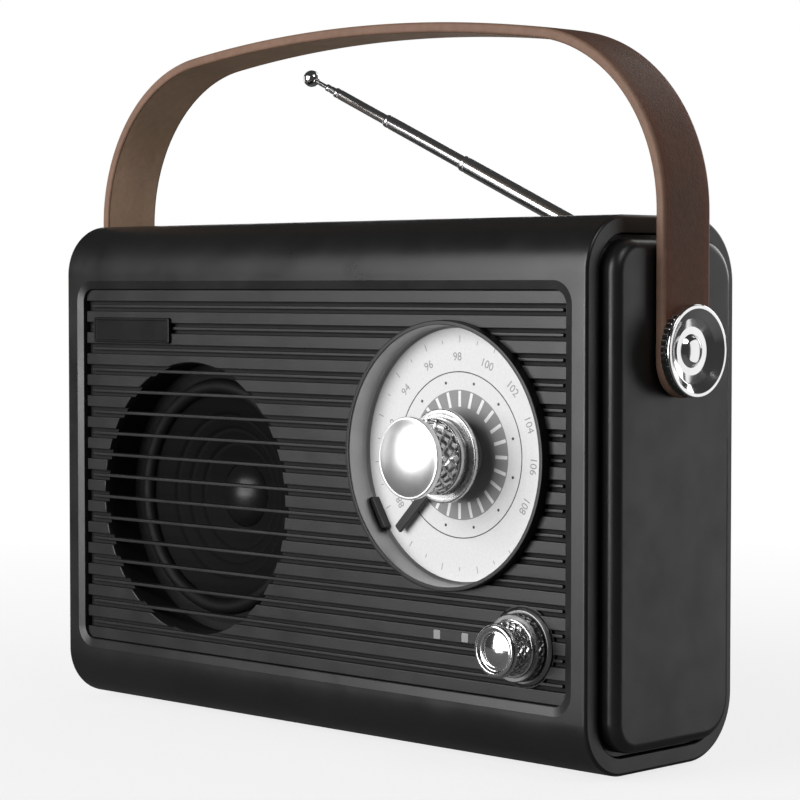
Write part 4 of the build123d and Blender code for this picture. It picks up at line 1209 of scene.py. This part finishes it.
jack_profile = [(3.1, back_y - 6), (3.1, back_y - 0.4), (3.9, back_y + 0.4)]
hole = turned(front_place(jack_mid.x, jack_mid.z), jack_profile, 48)
cut(rear, hole)
tray_low = cover_low.y
tray = plate(
    door_outline(0.8, 1.5),
    [(back_y - 2.7, 0.0), (tray_low, 0.0)],
)
tray_box = solid("battery_tray", tray, [CAP])
hollow = plate(
    door_outline(2, 1.0),
    [(back_y + 1, 0.0), (tray_low + 1.2, 0.0)],
)
cut(tray_box, hollow)
settle(tray_box, "case", [])
settle(rear, "case", ["rear_cover"], sharp=30)

door = plate(
    door_outline(0, 0.8),
    open_profile([(back_y - 1.8, 0.9), (back_y - 1.8, 0.0, 0.5), (back_y, 0.0, 0.5), (back_y, 2.0)]),
)
lid = solid("battery_lid", door, [CAP])
hinge_y, hinge_z = back_y - 0.9, door_low.z + 0.9
pins = turned(
    Place((0, hinge_y, hinge_z), (1, 0, 0), (0, 1, 0)),
    open_profile(
        [(0.0, door_low.x, 0), (0.7, door_low.x, 0.15), (0.7, door_high.x, 0.15), (0.0, door_high.x, 0)]
    ),
    24,
)
fuse(lid, pins)
door_mid_x = (door_low.x + door_high.x) / 2
for k in range(4):
    z = door_high.z - 3.2 - 2.0 * k
    rib = plate(
        rectangle(door_mid_x - 8, door_mid_x + 8, z - 0.45, z + 0.45, 0.44),
        [(back_y - 0.5, 0.05), (back_y - 0.1, 0.0), (back_y + 1, -0.2)],
    )
    cut(lid, rib)
settle(lid, "door", ["battery_door"], sharp=30)

screws = Shape()
for x, z in screw_places:
    place = front_place(x, z)
    screws.lathe(
        place,
        open_profile(
            [
                (0.0, back_y - 6.5, 0), (1.25, back_y - 6.5, 0.1), (1.25, back_y - 1.5, 0),
                (2.4, back_y - 1.5, 0.1), (2.4, back_y - 0.75, 0.5), (1.2, back_y - 0.25, 0.5),
                (0.0, back_y - 0.2, 0),
            ]
        ),
        40,
    )
screw_set = solid("back_screws", screws, [STEEL])
for w, h, depth in ((1.5, 0.32, 1.0), (0.32, 1.5, 0.93)):
    slots = Shape()
    for x, z in screw_places:
        slots.plate(rectangle(x - w, x + w, z - h, z + h, 0.1), [(back_y - depth, 0.0), (back_y + 1, 0.0)])
    cut(screw_set, slots)
settle(screw_set, "case", ["rear_cover_screws"], sharp=30)

# ---------------------------------------------------------------- parts kept from the frame
kept = (
    (BRASS, "tuning_shaft volume_shaft"),
    (STEEL, "tuning_pot volume_pot control_nuts handle_nuts antenna_nut antenna_pin"),
    (STEEL, "battery_contacts charging_socket inner_screws"),
    (BASKET, "speaker_basket"),
    # painted shade: the speaker collar takes the darker groove material, for the shade inside the opening
    (GROOVE_SHADE, "speaker_collar"),
    (FERRITE, "speaker_magnet ferrite_rod"),
    (RUBBER, "handle_spacers"),
    (CHROME, "antenna_turret antenna_hinge_block"),
    (SLEEVE, "battery_cell"),
    (POINTER, "headphone_socket board_parts"),
    (BOARD, "socket_board circuit_board"),
    (COPPER, "ferrite_coil"),
)
for material, nodes in kept:
    for node in nodes.split():
        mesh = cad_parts[node].data
        mesh.materials.clear()
        mesh.materials.append(material)
        mesh.polygons.foreach_set("use_smooth", [True] * len(mesh.polygons))
        mesh.set_sharp_from_angle(angle=math.radians(30))

# ---------------------------------------------------------------- stage, light and camera
floor_mesh = bpy.data.meshes.new("floor")
FLOOR_SIZE = 12.0
floor_mesh.from_pydata(
    [(x * FLOOR_SIZE, y * FLOOR_SIZE, 0) for x, y in ((-1, -1), (1, -1), (1, 1), (-1, 1))],
    [],
    [(0, 1, 2, 3)],
)
floor = bpy.data.objects.new("floor", floor_mesh)
bpy.context.scene.collection.objects.link(floor)
ground = Paint("floor_paint", specular=0.2)
ground.colour(ground.colours(ground.noise(400), [(0.3, grey(0.80)), (0.7, grey(0.82))]))
ground.shader.inputs["Roughness"].default_value = 0.9
distance = ground.node("ShaderNodeVectorMath", operation="LENGTH")
ground.link(ground.coords, distance.inputs[0])
clear = ground.node("ShaderNodeBsdfTransparent")
fade = ground.node("ShaderNodeMixShader")
share = ground.spread(distance.outputs["Value"], 0.80, 1.0, 0.14, 0.6)
ground.link(share, fade.inputs["Fac"])
ground.link(ground.shader.outputs["BSDF"], fade.inputs[1])
ground.link(clear.outputs["BSDF"], fade.inputs[2])
ground.link(fade.outputs["Shader"], ground.tree.nodes["Material Output"].inputs["Surface"])
floor_mesh.materials.append(ground.material)


def softbox(name, place, width, height, power, aim=(0, 0, 0.08)):
    """A square light that looks at the radio."""
    data = bpy.data.lights.new(name, "AREA")
    data.shape = "RECTANGLE"
    data.size, data.size_y = width, height
    data.energy = power
    lamp = bpy.data.objects.new(name, data)
    bpy.context.scene.collection.objects.link(lamp)
    lamp.location = Vector(place)
    lamp.rotation_euler = (Vector(aim) - lamp.location).to_track_quat("-Z", "Y").to_euler()
    lamp.visible_camera = False
    return lamp


softbox("key", (-0.25, -0.95, 0.33), 0.88, 0.72, 12.0)
softbox("side", (0.90, 1.0, 0.08), 0.80, 0.85, 2.3)
softbox("fill", (0.95, -0.10, 0.95), 0.5, 0.4, 3.0)
softbox("back", (0.05, 1.1, 1.0), 0.8, 0.35, 1.5)
softbox("rim", (-0.9, 0.95, 0.27), 0.7, 0.30, 1.8)
softbox("low", (-0.33, -0.95, 0.0), 0.35, 0.25, 1.2)
softbox("left", (-1.15, -0.05, 0.20), 0.4, 0.6, 1.2)
softbox("behind", (0.0, 1.3, 0.45), 1.0, 0.6, 5.0)
world = bpy.data.worlds.new("studio")
world.use_nodes = True
bpy.context.scene.world = world
background = world.node_tree.nodes["Background"]
path_node = world.node_tree.nodes.new("ShaderNodeLightPath")
mix = world.node_tree.nodes.new("ShaderNodeMix")
mix.data_type = "RGBA"
mix.inputs[6].default_value = (0.045, 0.045, 0.045, 1)
mix.inputs[7].default_value = (1, 1, 1, 1)
world.node_tree.links.new(path_node.outputs["Is Camera Ray"], mix.inputs[0])
world.node_tree.links.new(mix.outputs[2], background.inputs["Color"])

view_settings = bpy.context.scene.view_settings
view_settings.view_transform = "Standard"

camera_data = bpy.data.cameras.new("camera")
camera_data.sensor_width = 36.0
camera_data.lens = 117.577
camera = bpy.data.objects.new("camera", camera_data)
bpy.context.scene.collection.objects.link(camera)
YAW, PITCH = math.radians(44.446), math.radians(2.484)
forward = Vector((-math.sin(YAW) * math.cos(PITCH), math.cos(YAW) * math.cos(PITCH), -math.sin(PITCH)))
camera.location = (0.55147, -0.55270, 0.13183)
camera.rotation_euler = forward.to_track_quat("-Z", "Y").to_euler()
camera_data.clip_start, camera_data.clip_end = 0.01, 50
bpy.context.scene.camera = camera
